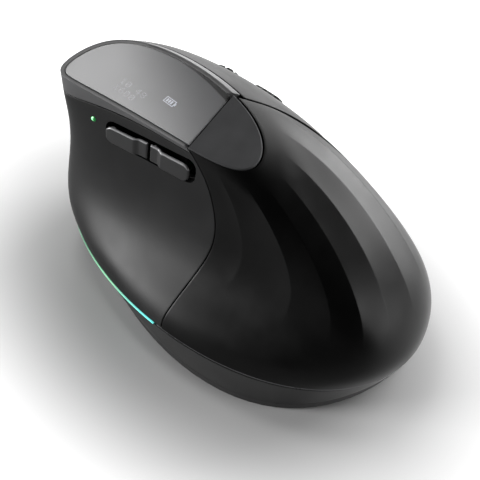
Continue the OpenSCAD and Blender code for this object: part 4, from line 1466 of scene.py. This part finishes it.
@dataclass
class Base:
    """Undercut skirt with its charging port, trim ring and light strip."""

    finishes: Finishes
    plate_top: float = 2.8
    skirt_top: float = 11.0
    parting: float = 12.0
    wall: float = 2.0
    trim_back: float = 0.25
    light_out: float = 0.3
    light_a0: float = 100.0
    light_a1: float = 172.5
    light_end: float = 1.0
    skirt_edge: float = 0.2
    arc_edge: float = 0.15
    arc_gap: float = 0.02
    trim_crown: float = 0.05
    light_crown: float = 0.15
    port_at: Tuple[float, float, float] = (-2.0, 48.0, 7.0)
    port_size: Tuple[float, float, float] = (10.54, 4.86, 2.2)
    port_reach: float = 20.0

    def skirt(self) -> None:
        """Skirt with the port's opening."""
        def skin(u: Array, v: Array) -> Array:
            """Outside of the skirt."""
            z = self.plate_top + v * (self.skirt_top - self.plate_top)
            return GRIP.ring(GRIP.skirt_row(z), 360 * u)

        obj = Bench.grid("base_skirt_wall", columns=300, rows=20, shape=skin)
        Bench.merge(obj)
        Bench.thicken(obj, self.wall)
        Bench.round_edges(obj, self.skirt_edge, segments=2)
        axes = Axes(np.array(self.port_at), np.array([0, 1.0, 0]), np.array([-1.0, 0, 0]),
                    np.array([0, 0, 1.0]))
        Bench.cut(obj, Bench.prism("port_cutter", axes, Bench.pill(*self.port_size), 0.0,
                                   self.port_reach))
        Bench.smooth(obj)
        Bench.keep(obj, "housing", "base", ["base_skirt"], self.finishes["base_black"])

    def arc(self, name: str, a0: float, a1: float, out: float, columns: int,
            crown: float) -> bpy.types.Object:
        """One arc of the ring under the shells.

        Args:
            name: Name of the piece.
            a0: Angle of its start.
            a1: Angle of its end.
            out: How far it stands out, in mm.
            columns: Faces along it.
            crown: How far its middle swells, in mm.

        Returns:
            The closed arc.
        """
        def skin(u: Array, v: Array) -> Array:
            """Outside of the arc, swelling a little at its middle.

            Args:
                u: Shares along the arc.
                v: Shares up it.

            Returns:
                Points in mm.
            """
            row = np.repeat(GRIP.rows[:1], len(u), 0)
            high = self.parting - self.skirt_top - 2 * self.arc_gap
            row[:, 0] = self.skirt_top + self.arc_gap + v * high
            return GRIP.shift_out(row, a0 + u * (a1 - a0), out - crown * (2 * v - 1) ** 2)

        obj = Bench.grid(name, columns=columns, rows=6, shape=skin)
        Bench.thicken(obj, self.wall)
        Bench.round_edges(obj, self.arc_edge)
        Bench.smooth(obj)
        return obj

    def build(self) -> None:
        """Builds the base's visible pieces."""
        self.skirt()
        trim = self.arc("trim_ring_arc", self.light_a1 + self.light_end,
                        self.light_a0 + 360 - self.light_end, -self.trim_back, columns=240,
                        crown=self.trim_crown)
        Bench.keep(trim, "housing", "trim", ["trim_ring"], self.finishes["trim_grey"])
        light = self.arc("light_strip_arc", self.light_a0, self.light_a1, self.light_out,
                         columns=120, crown=self.light_crown)
        Bench.keep(light, "housing", "light", ["light_strip"], self.finishes["light_glow"])


@dataclass
class Readout:
    """Generic digits and a battery icon on the display window."""

    finishes: Finishes
    over: float = 0.215
    dot: float = 0.2
    pitch: float = 0.29
    advance: float = 6.4
    lines: Tuple[Tuple[str, float, float], ...] = (("10 48", 2.4, 7.9), ("1600", -0.3, 7.9))
    battery: Tuple[float, float] = (4.9, -7.0)
    icon: Tuple[Tuple[float, float, float, float], ...] = (
        (-0.95, 0.0, 0.28, 3.4), (0.95, 0.0, 0.28, 3.4), (0.0, -1.6, 2.0, 0.28),
        (0.0, 1.6, 2.0, 0.28), (0.0, -1.95, 0.9, 0.3), (0.0, 0.85, 1.2, 0.55),
        (0.0, 0.1, 1.2, 0.55), (0.0, -0.65, 1.2, 0.55))
    font: Dict[str, Tuple[int, ...]] = field(default_factory=lambda: {
        "0": (14, 17, 19, 21, 25, 17, 14), "1": (4, 12, 4, 4, 4, 4, 14),
        "4": (2, 6, 10, 18, 31, 2, 2), "6": (6, 8, 16, 30, 17, 17, 14),
        "8": (14, 17, 17, 14, 17, 17, 14), " ": (0, 0, 0, 0, 0, 0, 0)})

    def tiles(self) -> List[Tuple[float, float, float, float]]:
        """Rectangles of the readout in the rim's plane.

        Returns:
            For each, its centre across and along, its width and its length, in mm.
        """
        out: List[Tuple[float, float, float, float]] = []
        for text, across, along in self.lines:
            for k, sign in enumerate(text):
                for r, bits in enumerate(self.font[sign]):
                    out += [(across - r * self.pitch, along - (k * self.advance + c) * self.pitch,
                             self.dot, self.dot) for c in range(5) if bits >> (4 - c) & 1]
        x, y = self.battery
        return out + [(x + dx, y + dy, w, h) for dx, dy, w, h in self.icon]

    def build(self) -> None:
        """Builds the readout as thin raised tiles."""
        axes = GRIP.rim_axes()
        tiles = self.tiles()
        bpy.ops.object.select_all(action="DESELECT")
        bpy.ops.mesh.primitive_grid_add(x_subdivisions=len(tiles), y_subdivisions=1, size=1)
        obj = bpy.context.object
        obj.name = obj.data.name = "display_readout"
        Bench.edit(obj, lambda: bpy.ops.mesh.edge_split(type="EDGE"))
        co = Bench.points(obj)
        for face in obj.data.polygons:
            x, y, w, h = tiles[face.index]
            mid = co[list(face.vertices)].mean(0)
            for i in face.vertices:
                sx, sy = np.sign(co[i, 0] - mid[0]), np.sign(co[i, 1] - mid[1])
                corner = axes.place(self.over, x + sx * w / 2, y + sy * h / 2)
                obj.data.vertices[i].co = corner * MM
        obj.data.update()
        Bench.keep(obj, "housing", "panel", [], self.finishes["readout_glow"])


@dataclass
class CarriedParts:
    """Pieces whose CAD shape stays, listed by their finishes."""

    finishes: Finishes
    table: Tuple[Tuple[str, str], ...] = (
        ("base_black", "base_plate"),
        ("foot_slick", "feet"),
        ("steel", "base_screws button_pins wheel_axle board_screws usb_socket"),
        ("tyre_rubber", "wheel_tyre"),
        ("hub_metal", "wheel_hub"),
        ("acetal_white", "wheel_carriage light_chips"),
        ("switch_black", "wheel_encoder left_switch right_switch middle_switch dpi_switch"),
        ("switch_black", "side_switches sensor_chip mode_switch"),
        ("pocket_black", "key_bezel"),
        ("inner_grey", "chassis finger_carrier battery_tray power_switch"),
        ("board_green", "finger_board side_board main_board usb_board light_board"),
        ("panel_dark", "display_module"),
        ("cable_amber", "display_cable"),
        ("lens_clear", "sensor_lens"),
        ("cell_foil", "battery"),
        ("slider_grey", "power_slider mode_button"),
    )

    def build(self) -> None:
        """Dresses the carried-over nodes."""
        for finish, nodes in self.table:
            for node in nodes.split():
                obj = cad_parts[node]
                obj.data.materials.clear()
                obj.data.materials.append(self.finishes[finish])
                LOG.info("%s: dressed in %s", node, finish)


def hang(name: str, data: bpy.types.ID, place: Vector, toward: Vector) -> bpy.types.Object:
    """Adds a light or a camera.

    Args:
        name: Its name.
        data: The light or camera data.
        place: Where it hangs, in metres.
        toward: The direction it looks in.

    Returns:
        The new object.
    """
    obj = bpy.data.objects.new(name, data)
    bpy.context.scene.collection.objects.link(obj)
    obj.location = place
    obj.rotation_euler = toward.to_track_quat("-Z", "Y").to_euler()
    return obj


@dataclass(frozen=True)
class SoftBox:
    """One soft box: where it hangs, what it aims at, its size in m and its power in W."""

    name: str
    place: Tuple[float, float, float]
    aim: Tuple[float, float, float]
    size: Tuple[float, float]
    power: float

    def build(self) -> None:
        """Adds the light."""
        data = bpy.data.lights.new(self.name, "AREA")
        data.shape = "RECTANGLE"
        data.size, data.size_y = self.size
        data.energy = self.power
        place = Vector(self.place)
        hang(self.name, data, place, Vector(self.aim) - place)


@dataclass
class Studio:
    """Pale floor, soft boxes, white surroundings and the camera."""

    azimuth: float = -48.5
    elevation: float = 50.0
    distance: float = 0.42
    target: Tuple[float, float, float] = (-0.0074, -0.004, 0.0275)
    lens: float = 109.62
    sensor: float = 36.0
    floor_size: float = 6.0
    floor_rough: float = 0.9
    mottle: float = 40.0
    mottle_tone: float = 0.995
    floor_white: float = 0.6
    dim: float = 0.02
    floor_dim: float = 0.5
    mirror_side: Tuple[float, float] = (-0.03, 0.04)
    # Ellipse of the painted shadow: the floor's white glow is left out there.
    shadow_mid: Tuple[float, float] = (-0.012, 0.0)
    shadow_reach: Tuple[float, float] = (0.05, 0.075)
    shadow_fade: Tuple[float, float] = (0.65, 1.75)
    boxes: Tuple[SoftBox, ...] = (
        SoftBox("top_box", (0.167, 0.331, 0.786), (0, 0.02, 0.066), (0.25, 0.3), 1.45),
        SoftBox("right_box", (0.759, -0.161, 0.224), (0, 0, 0.03), (0.6, 0.42), 8.7),
        SoftBox("rear_box", (0.265, -0.729, 0.224), (0, 0, 0.03), (0.5, 0.3), 2.4),
        SoftBox("front_box", (0.686, 0.396, 0.161), (0, 0, 0.03), (0.42, 0.3), 2.1),
        SoftBox("left_box", (-0.57, 0.55, 0.176), (0, 0, 0.03), (0.29, 0.28), 7.6),
    )

    def camera(self) -> None:
        """Camera at the photograph's angle."""
        e, a = math.radians(self.elevation), math.radians(self.azimuth)
        back = Vector((math.sin(a) * math.cos(e), -math.cos(a) * math.cos(e), math.sin(e)))
        data = bpy.data.cameras.new("view")
        data.lens = self.lens
        data.sensor_width = self.sensor
        place = Vector(self.target) + self.distance * back
        bpy.context.scene.camera = hang("view", data, place, -back)

    def floor(self) -> None:
        """Large pale floor with a faint mottle. It takes the cast shadow, and glows white to the
        camera only away from an ellipse round shadow_mid, so inside that ellipse the floor is
        darker: a painted shadow on top of the cast one.
        """
        bpy.ops.object.select_all(action="DESELECT")
        bpy.ops.mesh.primitive_plane_add(size=self.floor_size, location=(0, 0, 0))
        obj = bpy.context.object
        obj.name = "floor"
        w = Weave("floor_white")
        here = w.coords.outputs["Object"]
        path = w.node("LightPath").outputs
        white = (self.floor_white,) * 3
        (x, y), (rx, ry) = self.shadow_mid, self.shadow_reach
        place = w.node("Mapping", Vector=here, Location=(-x / rx, -y / ry, 0.0),
                       Scale=(1 / rx, 1 / ry, 1.0))
        away = w.node("VectorMath")
        away.operation = "LENGTH"
        w.feed(away, "Vector", place.outputs["Vector"])
        # Painted shadow: the camera-only white glow fades out towards shadow_mid, so the floor
        # near the object is darker than the rest.
        fade = w.ranged(away.outputs["Value"], self.shadow_fade, course="SMOOTHSTEP")
        side = w.ranged(w.node("SeparateXYZ", Vector=here).outputs["X"], self.mirror_side)
        seen = w.combine("ADD", w.combine("MULTIPLY", side, path["Is Glossy Ray"]),
                         w.combine("MULTIPLY", fade, path["Is Camera Ray"]))
        pale = w.blend(w.noise(self.mottle), shade(white, self.mottle_tone), white)
        tone = w.mix(path["Is Camera Ray"], (*(self.floor_dim,) * 3, 1), pale)
        w.set(Base_Color=tone, Roughness=self.floor_rough, Specular_IOR_Level=0.0,
              Emission_Color=(1.0, 1.0, 1.0, 1.0), Emission_Strength=seen)
        obj.data.materials.append(w.material)

    def surroundings(self) -> None:
        """World: white to the camera, dim to the object."""
        world = bpy.data.worlds.new("studio")
        bpy.context.scene.world = world
        world.use_nodes = True
        tree = world.node_tree
        back = tree.nodes["Background"]
        path = tree.nodes.new("ShaderNodeLightPath")
        white = tree.nodes.new("ShaderNodeMix")
        white.inputs["A"].default_value, white.inputs["B"].default_value = self.dim, 1.0
        tree.links.new(path.outputs["Is Camera Ray"], white.inputs["Factor"])
        tree.links.new(white.outputs["Result"], back.inputs["Strength"])
        back.inputs["Color"].default_value = (1, 1, 1, 1)

    def build(self) -> None:
        """Sets the studio up."""
        self.camera()
        self.floor()
        self.surroundings()
        for box in self.boxes:
            box.build()
        bpy.context.scene.view_settings.view_transform = "Standard"


def clear_start() -> None:
    """Removes what a new file holds besides the frame."""
    for name in ("Cube", "Light", "Camera"):
        obj = bpy.data.objects.get(name)
        if obj is not None:
            bpy.data.objects.remove(obj)


def main() -> None:
    """Builds the pieces in order."""
    logging.basicConfig(level=logging.INFO, format="%(message)s")
    clear_start()
    Studio().build()
    finishes = Finishes()
    SideShells(finishes).build()
    ThumbSide(finishes).build()
    FingerSide(finishes).build()
    TopDeck(finishes).build()
    Base(finishes).build()
    Readout(finishes).build()
    CarriedParts(finishes).build()


if __name__ == "__main__":
    main()
